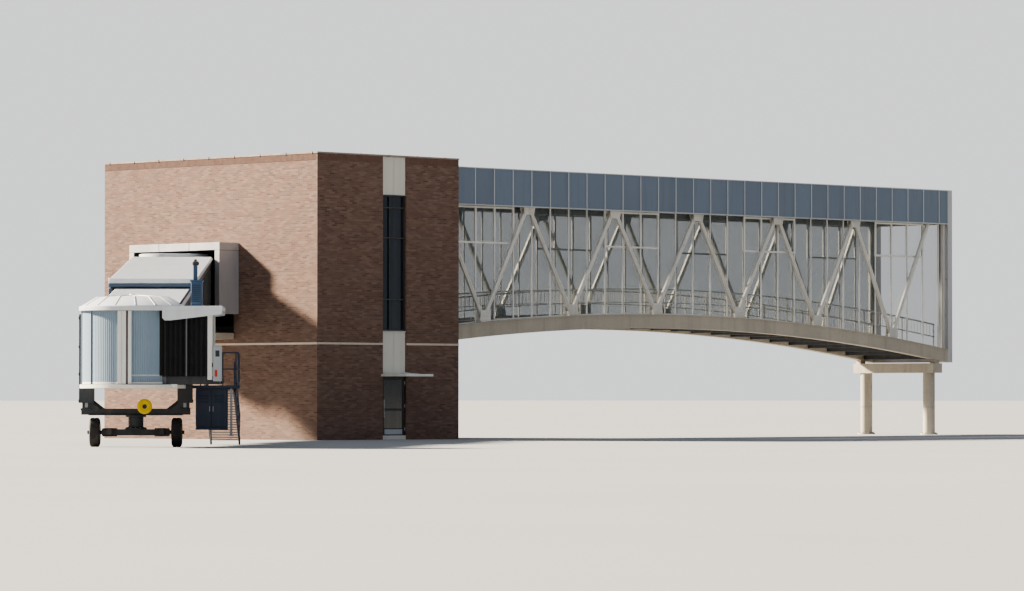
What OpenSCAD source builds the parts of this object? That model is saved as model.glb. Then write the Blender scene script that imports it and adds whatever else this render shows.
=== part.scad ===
// Airport boarding bridge: brick gate tower, glazed truss link gallery and
// telescopic bridge with swivelling cab, as a scale model.
// All sizes below are those of the full-size structure in millimetres;
// the last step scales them down. Ground is z = 0, the origin is the centre
// of the tower's footprint, +Y runs along the gallery.

/* [Model] */
// Full-size millimetres in one model millimetre
scale_denominator = 2; // [2:1:20]

/* [Tower] */
// Tower width along X
tower_w = 12600; // [12000:100:14000]
// Tower depth along Y
tower_d = 7500; // [7400:100:9000]
// Tower height to the top of the coping
tower_h = 11000; // [10800:100:12000]
// Thickness of the brick walls
wall_t = 400; // [300:20:450]
// Level of the upper floor
floor_z = 4400; // [4380:10:4420]

/* [Portal] */
// Left edge of the portal opening
portal_x0 = -3300; // [-3400:20:-3200]
// Right edge of the portal opening
portal_x1 = 1500; // [1480:20:1700]
// Top of the portal opening
portal_top = 7320; // [7300:20:7500]
// How far the portal box stands out of the wall
portal_out = 1000; // [980:10:1020]

/* [Gallery] */
// Length of the gallery
gallery_l = 30000; // [28000:500:32000]
// Width of the gallery
gallery_w = 4600; // [4400:100:4800]
// Underside of the fascia
fascia_z = 9200; // [9100:20:9300]
// Depth of the arched edge beams
beam_h = 570; // [500:10:600]

/* [Bridge] */
// Heading of the tunnels, degrees from +X
heading = -43.2; // [-43.4:0.1:-43]
// Downward slope of the tunnels in degrees
slope = 4.69; // [4.6:0.01:4.75]
// Length of the outer tunnel
tunnel_a_l = 14600; // [14400:50:14650]
// Outer end of the inner tunnel, along the slope
tunnel_b_end = 24930; // [24880:10:24940]
// Distance from the rotunda's axis to the cab's axis
cab_s = 29750; // [29700:10:29800]

/* [Undercarriage] */
// Wheel diameter
wheel_d = 960; // [900:20:980]
// Distance from the bogie's middle to each wheel's middle
wheel_y = 1350; // [1300:10:1400]

/* [Hidden] */
hw = tower_w / 2;
hd = tower_d / 2;
pivot_x = (portal_x0 + portal_x1) / 2;
pivot_y = -hd - portal_out;
pitch_s = 1400;      // pitch axis, ahead of the rotunda's axis
pitch_z = 4315;
strip_y0 = -320;     // the tall window strip in the side walls
strip_y1 = 920;
gal_x1 = hw - 150;
gal_x0 = gal_x1 - gallery_w;
carriage_s = 27750;  // lift columns and bogie
rot_r = 1350;
bays = 6;
bay = gallery_l / bays;
arch_n = 24;
e = 1;

// Underside of the arched edge beam at distance y from the tower
function arch(y) = 4460 - 0.004 * pow(y / 1000 - 12, 2) * 1000;
function arch_pts(dz, a = 0, b = gallery_l) =
    [for (i = [0 : arch_n]) let (y = a + (b - a) * i / arch_n) [y, arch(y) + dz]];
// The same underside as the beam's straight pieces have it
function arch_line(y) = let (s = gallery_l / arch_n, a = floor(y / s) * s)
    arch(a) + (arch(a + s) - arch(a)) * (y - a) / s;
function rev(v) = [for (i = [len(v) - 1 : -1 : 0]) v[i]];

// ---------- helpers ----------
// Box from its lowest to its highest corner
module bx(a, b) { translate(a) cube(b - a); }
// Down to model size
module model() { scale(1 / scale_denominator) children(); }
// Heading frame: X out along the bridge, Y to its left, Z up from the ground
module heading_frame() { translate([pivot_x, pivot_y, 0]) rotate([0, 0, heading]) children(); }
// Sloping frame of the tunnels, from the pitch axis
module slope_frame() { heading_frame() translate([pitch_s, 0, pitch_z]) rotate([0, slope, 0]) children(); }
// Frame of the cab, about its axis
module cab_frame() { heading_frame() translate([cab_s, 0, 0]) children(); }
// Outline in the Y-Z plane, carried along X from x0 to x1
module yz(x0, x1, pts) { translate([x0, 0, 0]) rotate([90, 0, 90]) linear_extrude(x1 - x0) polygon(pts); }
// Sector of a circle from angle a0 to a1
module sector(r, a0, a1) {
    n = ceil((a1 - a0) / 30);
    polygon(concat([[0, 0]], [for (i = [0 : n]) let (a = a0 + (a1 - a0) * i / n) [2 * r * cos(a), 2 * r * sin(a)]]));
}
// Upright curved panel between two radii and two angles
module arc_wall(r0, r1, a0, a1, z0, z1) {
    translate([0, 0, z0]) intersection() {
        difference() {
            cylinder(r = r1, h = z1 - z0, $fn = 96);
            translate([0, 0, -e]) cylinder(r = r0, h = z1 - z0 + 2 * e, $fn = 96);
        }
        translate([0, 0, -2 * e]) linear_extrude(z1 - z0 + 4 * e) sector(r1, a0, a1);
    }
}
// Six-sided bar between two points of a side truss, in the Y-Z plane
module bar(p, q, r) {
    d = q - p;
    l = norm(d);
    translate([0, p[0], p[1]]) rotate([atan2(-d[0], d[1]), 0, 0]) cylinder(r = r, h = l, $fn = 6);
}

// ---------- tower ----------
module ground_slab() { color("gray") model() bx([-hw + wall_t, -hd + wall_t, 0], [hw - wall_t, hd - wall_t, 160]); }
module upper_floor() { color("silver") model() bx([-hw + wall_t, -hd + wall_t, floor_z - 250], [hw - wall_t, hd - wall_t, floor_z]); }
module roof_slab() { color("dimgray") model() bx([-hw + wall_t, -hd + wall_t, tower_h - 700], [hw - wall_t, hd - wall_t, tower_h - 450]); }

module front_wall_sides() {
    color([0.85, 0.72, 0.60]) model() {
        bx([-hw, -hd, 0], [portal_x0, -hd + wall_t, tower_h - 60]);
        bx([portal_x1, -hd, 0], [hw, -hd + wall_t, tower_h - 60]);
    }
}
module front_wall_middle() {
    color([0.85, 0.72, 0.60]) model() {
        bx([portal_x0, -hd, 0], [portal_x1, -hd + wall_t, 3880]);
        bx([portal_x0, -hd, portal_top], [portal_x1, -hd + wall_t, tower_h - 60]);
    }
}
back_x0 = gal_x0 + 450;
back_x1 = gal_x1 - 450;
module back_wall_sides() {
    color([0.85, 0.72, 0.60]) model() {
        bx([-hw, hd - wall_t, 0], [back_x0, hd, tower_h - 60]);
        bx([back_x1, hd - wall_t, 0], [hw, hd, tower_h - 60]);
    }
}
module back_wall_middle() {
    color([0.85, 0.72, 0.60]) model() {
        bx([back_x0, hd - wall_t, 0], [back_x1, hd, floor_z]);
        bx([back_x0, hd - wall_t, 7400], [back_x1, hd, tower_h - 60]);
    }
}
module side_wall_pair() {
    bx([hw - wall_t, -hd + wall_t, 0], [hw, strip_y0, tower_h - 60]);
    bx([hw - wall_t, strip_y1, 0], [hw, hd - wall_t, tower_h - 60]);
}
module right_wall() { color([0.36, 0.24, 0.23]) model() side_wall_pair(); }
module left_wall() { color([0.36, 0.24, 0.23]) model() mirror([1, 0, 0]) side_wall_pair(); }
module coping() {
    color([0.55, 0.53, 0.50]) model() difference() {
        bx([-hw - 20, -hd - 20, tower_h - 60], [hw + 20, hd + 20, tower_h]);
        bx([-hw + wall_t + 20, -hd + wall_t + 20, tower_h - 60 - e], [hw - wall_t - 20, hd - wall_t - 20, tower_h + e]);
    }
}
// The light panels and sills of the two window strips
module strip_panels() {
    color([0.74, 0.73, 0.69]) model() {
        bx([hw - 300, strip_y0, 9450], [hw - 60, strip_y1, tower_h - 60]);
        bx([hw - 300, strip_y0, 2440], [hw - 60, strip_y1, 4200]);
        bx([hw - 300, strip_y0, 0], [hw - 20, strip_y1, 160]);
        bx([-hw + 60, strip_y0, 9450], [-hw + 300, strip_y1, tower_h - 60]);
        bx([-hw + 60, strip_y0, 0], [-hw + 300, strip_y1, 4200]);
    }
}
module strip_glass() {
    color([0.2, 0.23, 0.25]) model() {
        bx([hw - 200, strip_y0, 4200], [hw - 160, strip_y1, 9450]);
        bx([-hw + 160, strip_y0, 4200], [-hw + 200, strip_y1, 9450]);
    }
}
module door_canopy() {
    color([0.85, 0.84, 0.80]) model() {
        bx([hw, strip_y0 - 100, 2440], [hw + 1440, strip_y1 + 60, 2520]);
        bx([hw - 60, strip_y0, 2440], [hw, strip_y1, 2520]);
    }
}
// Door leaf, hinged at its back edge, with the knuckles of its hinges
module tower_door() {
    color([0.18, 0.2, 0.22]) model() {
        bx([hw - 140, strip_y0 + 20, 175], [hw - 70, strip_y1 - 20, 2425]);
        for (z = [350, 1240, 2130]) translate([hw - 65, strip_y1 - 20, z]) cylinder(r = 18, h = 120, $fn = 32);
    }
}
module portal_frame() {
    color([0.60, 0.60, 0.62]) model() {
        bx([portal_x0 - 300, pivot_y, 4850], [portal_x0, -hd, portal_top]);
        bx([portal_x1, pivot_y, 4850], [portal_x1 + 300, -hd, portal_top]);
        bx([portal_x0 - 300, pivot_y, portal_top], [portal_x1 + 300, -hd, portal_top + 300]);
    }
}
module portal_sill() {
    color([0.50, 0.50, 0.50]) model() {
        bx([portal_x0, pivot_y, 3880], [portal_x1, -hd + wall_t, 4130]);
        translate([pivot_x, pivot_y, 3880]) difference() {
            cylinder(r = 1300, h = 250, $fn = 96);
            bx([-2000, 100, -e], [2000, 2000, 300]);
        }
    }
}

// ---------- gallery ----------
module gallery_frame() { translate([0, hd, 0]) children(); }
module gallery_beams() {
    color([0.62, 0.58, 0.52]) model() gallery_frame() {
        yz(gal_x1 - 350, gal_x1, concat(arch_pts(0), rev(arch_pts(beam_h))));
        yz(gal_x0, gal_x0 + 350, concat(arch_pts(0), rev(arch_pts(beam_h))));
    }
}
module gallery_deck() {
    color([0.5, 0.48, 0.45]) model() gallery_frame()
        yz(gal_x0 + 350, gal_x1 - 350, concat(arch_pts(beam_h - 260), rev(arch_pts(beam_h - 40))));
}
module gallery_roof() {
    color([0.45, 0.46, 0.47]) model() gallery_frame()
        bx([gal_x0 + 120, 0, 10350], [gal_x1 - 120, gallery_l, 10600]);
}
module gallery_fascia() {
    color([0.30, 0.38, 0.47]) model() gallery_frame() {
        bx([gal_x1 - 120, 0, fascia_z], [gal_x1, gallery_l, 10700]);
        bx([gal_x0, 0, fascia_z], [gal_x0 + 120, gallery_l, 10700]);
    }
}
// Warren truss: top nodes a bay apart, bottom nodes half a bay between them.
// The first bar runs on into the tower wall, so it is cut at the wall's face.
module truss(xc) {
    top_y = [for (i = [-1 : 5]) 4200 + i * 4950];
    bot_y = [for (i = [0 : 5]) 1725 + i * 4950];
    ztop = 9300;
    foot = beam_h + 90;
    translate([xc, 0, 0]) {
        bx([-100, 0, 9205], [100, gallery_l, 9400]);
        intersection() {
            bar([top_y[0], ztop], [bot_y[0], arch(bot_y[0]) + foot], 95);
            bx([-200, 0, 4000], [200, 4000, 9500]);
        }
        for (i = [0 : 5]) bar([bot_y[i], arch(bot_y[i]) + foot], [top_y[i + 1], ztop], 95);
        for (i = [0 : 4]) bar([top_y[i + 1], ztop], [bot_y[i + 1], arch(bot_y[i + 1]) + foot], 95);
        for (y = bot_y) yz(-110, 110, [
            [y - 220, arch_line(y - 220) + beam_h + 4], [y + 220, arch_line(y + 220) + beam_h + 4],
            [y + 220, arch(y) + beam_h + 190], [y - 220, arch(y) + beam_h + 190]]);
        bx([-70, gallery_l - 140, arch(gallery_l) + beam_h + 30], [70, gallery_l, 9300]);
    }
}
module truss_right() { color([0.48, 0.50, 0.52]) model() gallery_frame() truss(gal_x1 - 225); }
module truss_left() { color([0.48, 0.50, 0.52]) model() gallery_frame() truss(gal_x0 + 225); }
module glass_sheet(x) {
    yz(x, x + 24, concat(arch_pts(beam_h - 30, 10, gallery_l - 10), [[gallery_l - 10, 10340], [10, 10340]]));
}
module gallery_glass() {
    color([0.55, 0.62, 0.64]) model() gallery_frame() {
        glass_sheet(gal_x1 - 400);
        glass_sheet(gal_x0 + 376);
    }
}
// Handrails inside the glazing, on posts at each half bay
module rail_run(x) {
    yz(x, x + 50, concat(arch_pts(beam_h + 1010, 300, gallery_l - 300), rev(arch_pts(beam_h + 1070, 300, gallery_l - 300))));
    yz(x, x + 50, concat(arch_pts(beam_h + 480, 300, gallery_l - 300), rev(arch_pts(beam_h + 520, 300, gallery_l - 300))));
    for (i = [0 : 2 * bays]) {
        y = min(max(i * bay / 2, 325), gallery_l - 375);
        yz(x, x + 50, [[y, arch_line(y) + beam_h - 40], [y + 50, arch_line(y + 50) + beam_h - 40],
            [y + 50, arch(y) + beam_h + 1040], [y, arch(y) + beam_h + 1040]]);
    }
}
module gallery_rails() {
    color([0.9, 0.9, 0.88]) model() gallery_frame() {
        rail_run(gal_x1 - 560);
        rail_run(gal_x0 + 510);
    }
}
// Open frame at the far end, where the gallery meets the wall
module gallery_end_frame() {
    color([0.55, 0.55, 0.55]) model() gallery_frame() {
        bx([gal_x0, gallery_l, 3160], [gal_x0 + 500, gallery_l + 300, 10700]);
        bx([gal_x1 - 500, gallery_l, 3160], [gal_x1, gallery_l + 300, 10700]);
        bx([gal_x0 + 500, gallery_l, 3160], [gal_x1 - 500, gallery_l + 300, arch(gallery_l) + beam_h - 40]);
        bx([gal_x0 + 500, gallery_l, 9200], [gal_x1 - 500, gallery_l + 300, 10700]);
    }
}
module gallery_columns() {
    color([0.55, 0.56, 0.57]) model() gallery_frame() {
        for (x = [gal_x0 + 500, gal_x1 - 500]) translate([x, gallery_l - 700, 0]) {
            cylinder(r = 260, h = 2700, $fn = 48);
            cylinder(r = 380, h = 60, $fn = 48);
        }
        bx([gal_x0, gallery_l - 1000, 2700], [gal_x1, gallery_l - 400, 3120]);
        // bearings, cut to the slope of the beams' undersides
        for (x = [gal_x0 + 40, gal_x1 - 310]) yz(x, x + 270, [
            [gallery_l - 850, 3110], [gallery_l - 550, 3110],
            [gallery_l - 550, arch_line(gallery_l - 550)], [gallery_l - 850, arch_line(gallery_l - 850)]]);
    }
}

// ---------- rotunda ----------
// Floor disc, with the lugs and pins that the tunnels pitch on
pin_r = 30;
module rotunda_floor() {
    color("gray") model() heading_frame() {
        translate([0, 0, 4140]) cylinder(r = rot_r, h = 200, $fn = 96);
        for (s = [-1, 1]) {
            bx([700, s * 1040 - 60, pitch_z - 42], [pitch_s, s * 1040 + 60, 4340]);
            translate([pitch_s, s * 1040 + 60, pitch_z]) rotate([90, 0, 0]) cylinder(r = 42, h = 120, $fn = 48);
            translate([pitch_s, s * 900 + 200, pitch_z]) rotate([90, 0, 0]) cylinder(r = pin_r, h = 400, $fn = 48);
        }
    }
}
module rotunda_roof() { color([0.88, 0.90, 0.92]) model() heading_frame() translate([0, 0, 7060]) cylinder(r = rot_r, h = 140, $fn = 96); }
module rotunda_curtains() {
    color([0.55, 0.62, 0.68]) model() heading_frame() {
        arc_wall(rot_r - 50, rot_r, 50, 122, 4340, 7060);
        arc_wall(rot_r - 50, rot_r, -122, -50, 4340, 7060);
    }
}

// ---------- telescopic tunnels ----------
// Floor of the outer tunnel, with the eyes that turn on the rotunda's pins
module tunnel_a_floor() {
    color("gray") model() slope_frame() {
        bx([50, -1530, -100], [tunnel_a_l, 1530, -10]);
        for (s = [-1, 1]) translate([0, s * 840, 0]) difference() {
            union() {
                translate([0, 120, 0]) rotate([90, 0, 0]) cylinder(r = 55, h = 240, $fn = 48);
                bx([30, -120, -55], [70, 120, -10]);
            }
            translate([0, 130, 0]) rotate([90, 0, 0]) cylinder(r = pin_r + 2, h = 260, $fn = 48);
        }
    }
}
module tunnel_a_roof() { color([0.90, 0.92, 0.94]) model() slope_frame() bx([50, -1580, 2640], [tunnel_a_l, 1580, 2760]); }
module tunnel_a_sides() {
    color([0.22, 0.27, 0.30]) model() slope_frame() {
        bx([50, 1450, -10], [tunnel_a_l, 1530, 2640]);
        bx([50, -1530, -10], [tunnel_a_l, -1450, 2640]);
    }
}
module tunnel_a_end_band() {
    color([0.15, 0.25, 0.35]) model() slope_frame() difference() {
        bx([tunnel_a_l, -1580, -100], [tunnel_a_l + 200, 1580, 2760]);
        bx([tunnel_a_l - e, -1430, -20], [tunnel_a_l + 200 + e, 1430, 2390]);
    }
}
tunnel_b_start = 11550;
module tunnel_b_floor() { color("gray") model() slope_frame() bx([tunnel_b_start, -1370, 0], [tunnel_b_end, 1370, 110]); }
module tunnel_b_roof() { color([0.90, 0.92, 0.94]) model() slope_frame() bx([tunnel_b_start, -1400, 2230], [tunnel_b_end, 1400, 2340]); }
module tunnel_b_sides() {
    color([0.22, 0.27, 0.30]) model() slope_frame() for (s = [-1, 1]) {
        bx([tunnel_b_start, s > 0 ? 1310 : -1370, 110], [tunnel_b_end, s > 0 ? 1370 : -1310, 2230]);
    }
}

// ---------- end frame, level ----------
module end_floor() {
    color([0.30, 0.33, 0.38]) model() heading_frame() {
        bx([26450, -1380, 2050], [28150, 1380, 2340]);
        bx([26450, -1000, 1930], [cab_s, 1000, 2050]);
        translate([cab_s, 0, 1930]) cylinder(r = 1720, h = 120, $fn = 96);
    }
}
module end_walls() {
    color([0.75, 0.78, 0.80]) model() heading_frame() {
        // right-hand wall without a door
        bx([26450, -1380, 2340], [28650, -1300, 4300]);
        bx([26450, -1380, 4300], [28400, 1380, 4420]);
        bx([28400, -1380, 4300], [28650, -1300, 4420]);
        // left-hand wall, split at the service door
        bx([26450, 1300, 2340], [26560, 1380, 4300]);
        bx([27420, 1300, 2340], [28420, 1380, 4300]);
        bx([26560, 1300, 4360], [27420, 1380, 4420]);
    }
}
// Outer lift tubes on the end frame
module lift_columns() {
    color([0.45, 0.50, 0.56]) model() heading_frame() for (s = [-1, 1]) translate([carriage_s, s * 1620, 0]) difference() {
        bx([-290, -240, 1450], [290, 240, 4350]);
        bx([-240, -190, 1450 - e], [240, 190, 4320]);
    }
}
module landing() {
    color([0.13, 0.18, 0.26]) model() heading_frame() {
        bx([26450, 1385, 1930], [27440, 3400, 2030]);
        bx([26500, 1950, 560], [27350, 3000, 1930]);
        bx([27330, 3090, 360], [27410, 3170, 1930]);
    }
}
module service_door() {
    color([0.35, 0.40, 0.46]) model() heading_frame() {
        bx([26580, 1310, 2350], [27400, 1370, 4290]);
        for (z = [2480, 3250, 4020]) translate([27400, 1375, z]) cylinder(r = 14, h = 120, $fn = 32);
    }
}

stair_l = 6300;
stair_a = 16.8;
stair_x = 26360;
stair_z = 1930;
// Hinge pin at the landing, with a cheek along each stringer
module stair_head() {
    color([0.20, 0.24, 0.30]) model() heading_frame() translate([stair_x, 0, stair_z]) {
        translate([0, 2120, 0]) rotate([-90, 0, 0]) cylinder(r = 45, h = 1160, $fn = 48);
        for (y = [2120, 3240]) rotate([0, -stair_a, 0]) bx([-900, y, -60], [40, y + 40, 60]);
    }
}
// Stringers, treads and handrails, in a frame that runs down the flight
module stair() {
    color([0.20, 0.24, 0.30]) model() heading_frame() translate([stair_x, 0, stair_z]) rotate([0, -stair_a, 0]) {
        for (y = [2180, 3160]) {
            bx([-stair_l, y, -100], [-60, y + 60, 100]);
            bx([-stair_l + 100, y + 10, 980], [-100, y + 50, 1020]);
            for (i = [0 : 4]) bx([-stair_l + 150 + i * 1440, y + 10, 90], [-stair_l + 190 + i * 1440, y + 50, 990]);
        }
        for (i = [0 : 19]) translate([-250 - i * 308, 0, 0]) rotate([0, stair_a, 0]) bx([-130, 2230, -15], [130, 3170, 15]);
    }
}

// ---------- cab ----------
module curtain_1() { color([0.62, 0.70, 0.78]) model() cab_frame() arc_wall(1650, 1680, -127, -86, 2050, 4430); }
module curtain_2() { color([0.62, 0.70, 0.78]) model() cab_frame() arc_wall(1605, 1635, -88, -53, 2062, 4430); }
module curtain_3() {
    color([0.62, 0.70, 0.78]) model() cab_frame() {
        arc_wall(1560, 1590, -54, 1.5, 2062, 4430);
        arc_wall(1580, 1640, -14.8, -10.8, 2062, 4430);
        arc_wall(1580, 1640, -2.5, 1.5, 2062, 4430);
    }
}
module curtain_4() { color([0.62, 0.70, 0.78]) model() cab_frame() arc_wall(1515, 1545, -2, 37.5, 2300, 4440); }
module cab_floor() {
    color([0.25, 0.28, 0.32]) model() cab_frame() {
        translate([0, 0, 2062]) cylinder(r = 1548, h = 238, $fn = 96);
        bx([-1120, 1000, 2062], [1120, 2900, 2300]);
    }
}
module cab_roof() {
    color([0.90, 0.92, 0.94]) model() cab_frame() {
        translate([0, 0, 4440]) cylinder(r = 1750, h = 150, $fn = 96);
        bx([-1420, 800, 4300 + 140], [1420, 2960, 4590]);
        bx([-1420, 1640, 4300], [-1380, 2960, 4450]);
        bx([1380, 1640, 4300], [1420, 2960, 4450]);
    }
}
// Jambs where the drum opens, and the end posts of the canopy
module cab_posts() {
    color([0.88, 0.88, 0.86]) model() cab_frame() for (s = [-1, 1]) {
        intersection() {
            bx([s * 1150 - 115, 950, 2300], [s * 1150 + 115, 1050, 4440]);
            translate([0, 0, 2200]) cylinder(r = 1546, h = 2400, $fn = 96);
        }
        bx([s * 1230 - 60, 2480, 2200], [s * 1230 + 60, 2640, 4440]);
    }
}
// Folding canopy round the cab's mouth
module cab_canopy() {
    color([0.10, 0.11, 0.13]) model() cab_frame() {
        bx([-1290, 1120, 2310], [-1130, 2470, 4430]);
        bx([1130, 1120, 2310], [1290, 2470, 4430]);
        bx([-1290, 1120, 4270], [1290, 2470, 4430]);
    }
}
module roof_unit() {
    color([0.12, 0.20, 0.30]) model() cab_frame() {
        bx([-100, 1900, 4590], [500, 2450, 5300]);
        bx([120, 2080, 5300], [280, 2280, 6150]);
    }
}

// ---------- undercarriage ----------
module carriage_frame() {
    color([0.12, 0.14, 0.17]) model() heading_frame() {
        bx([carriage_s - 200, -1790, 1060], [carriage_s + 200, 1790, 1260]);
        for (s = [-1, 1]) translate([carriage_s, s * 1620, 0]) bx([-175, -140, 1200], [175, 140, 4260]);
    }
}
axle_r = 60;
axle_clear = 0.1;
module bogie_frame() {
    color([0.12, 0.14, 0.17]) model() heading_frame() translate([carriage_s, 0, 0]) {
        bx([-180, -1120, 380], [180, 1120, 580]);
        translate([0, 0, 570]) cylinder(r = 250, h = 480, $fn = 64);
        for (s = [-1, 1]) translate([0, s * 1100, wheel_d / 2]) rotate([s > 0 ? -90 : 90, 0, 0]) cylinder(r = axle_r, h = 500, $fn = 48);
    }
}
module wheel(s) {
    heading_frame() translate([carriage_s, s * wheel_y, wheel_d / 2]) rotate([90, 0, 0]) rotate_extrude($fn = 96)
        polygon([[axle_r + axle_clear, -150], [250, -150], [250, -110], [330, -110], [350, -170], [440, -170],
            [wheel_d / 2, -120], [wheel_d / 2, 120], [440, 170], [350, 170], [330, 110], [250, 110], [250, 150],
            [axle_r + axle_clear, 150]]);
}
module wheel_left() { color([0.1, 0.1, 0.1]) model() wheel(1); }
module wheel_right() { color([0.1, 0.1, 0.1]) model() wheel(-1); }

ground_slab();
upper_floor();
roof_slab();
front_wall_sides();
front_wall_middle();
back_wall_sides();
back_wall_middle();
right_wall();
left_wall();
coping();
strip_panels();
strip_glass();
door_canopy();
tower_door();
portal_frame();
portal_sill();
gallery_beams();
gallery_deck();
gallery_roof();
gallery_fascia();
truss_right();
truss_left();
gallery_glass();
gallery_rails();
gallery_end_frame();
gallery_columns();
rotunda_floor();
rotunda_roof();
rotunda_curtains();
tunnel_a_floor();
tunnel_a_roof();
tunnel_a_sides();
tunnel_a_end_band();
tunnel_b_floor();
tunnel_b_roof();
tunnel_b_sides();
end_floor();
end_walls();
lift_columns();
landing();
service_door();
stair_head();
stair();
curtain_1();
curtain_2();
curtain_3();
curtain_4();
cab_floor();
cab_roof();
cab_posts();
cab_canopy();
roof_unit();
carriage_frame();
bogie_frame();
wheel_left();
wheel_right();
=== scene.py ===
import bpy
import bmesh
import math
import random
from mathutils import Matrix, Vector


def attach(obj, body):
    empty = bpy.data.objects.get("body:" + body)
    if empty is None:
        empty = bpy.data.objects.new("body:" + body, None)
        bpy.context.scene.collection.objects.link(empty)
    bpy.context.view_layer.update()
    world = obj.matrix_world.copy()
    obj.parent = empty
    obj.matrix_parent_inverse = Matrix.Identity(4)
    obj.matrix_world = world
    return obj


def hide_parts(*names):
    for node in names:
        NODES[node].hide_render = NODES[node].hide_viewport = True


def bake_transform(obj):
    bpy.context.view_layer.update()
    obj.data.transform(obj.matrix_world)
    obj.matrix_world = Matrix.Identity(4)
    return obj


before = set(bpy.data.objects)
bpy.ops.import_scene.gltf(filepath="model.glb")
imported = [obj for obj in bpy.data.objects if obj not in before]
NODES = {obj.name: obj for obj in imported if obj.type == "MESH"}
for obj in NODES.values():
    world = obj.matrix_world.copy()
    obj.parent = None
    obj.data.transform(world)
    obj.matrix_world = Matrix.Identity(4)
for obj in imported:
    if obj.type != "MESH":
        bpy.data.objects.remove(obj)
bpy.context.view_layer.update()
rnd = random.Random(11)

# ------------------------------------------------------------------ frames
# All sizes below are full-size metres; K brings them to the model's scale.
K = 0.5
HEAD, SLOPE = math.radians(-43.2), math.radians(4.69)
DX, DY = math.cos(HEAD), math.sin(HEAD)
CS, SN = math.cos(SLOPE), math.sin(SLOPE)
HW, HD = 6.3, 3.75
GX1, GX0 = 6.15, 1.55
GL = 30.0
CAB = 29.75


def W(x, y, z):
    """Tower frame."""
    return (K * x, K * y, K * z)


def G(x, y, z):
    """Gallery frame, y from the tower's back wall."""
    return (K * x, K * (HD + y), K * z)


def H(x, y, z):
    """Heading frame, x out along the bridge from the rotunda's axis."""
    return (K * (-0.9 + x * DX - y * DY), K * (-4.75 + x * DY + y * DX), K * z)


def F(s, y, z):
    """Sloping frame of the tunnels, from the pitch axis."""
    return H(1.4 + s * CS + z * SN, y, 4.315 - s * SN + z * CS)


def C(x, y, z):
    """Cab frame, about the cab's axis."""
    return H(CAB + x, y, z)


def S(x, y, z):
    """Stair frame, running down the flight from its pin."""
    a = math.radians(16.8)
    return H(26.36 + x * math.cos(a) - z * math.sin(a), y, 1.93 + x * math.sin(a) + z * math.cos(a))


def arch(y):
    return 4.46 - 0.004 * (y - 12) ** 2


def arch_line(y):
    s = GL / 24
    a = math.floor(min(y, GL - 1e-6) / s) * s
    return arch(a) + (arch(a + s) - arch(a)) * (y - a) / s


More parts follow.
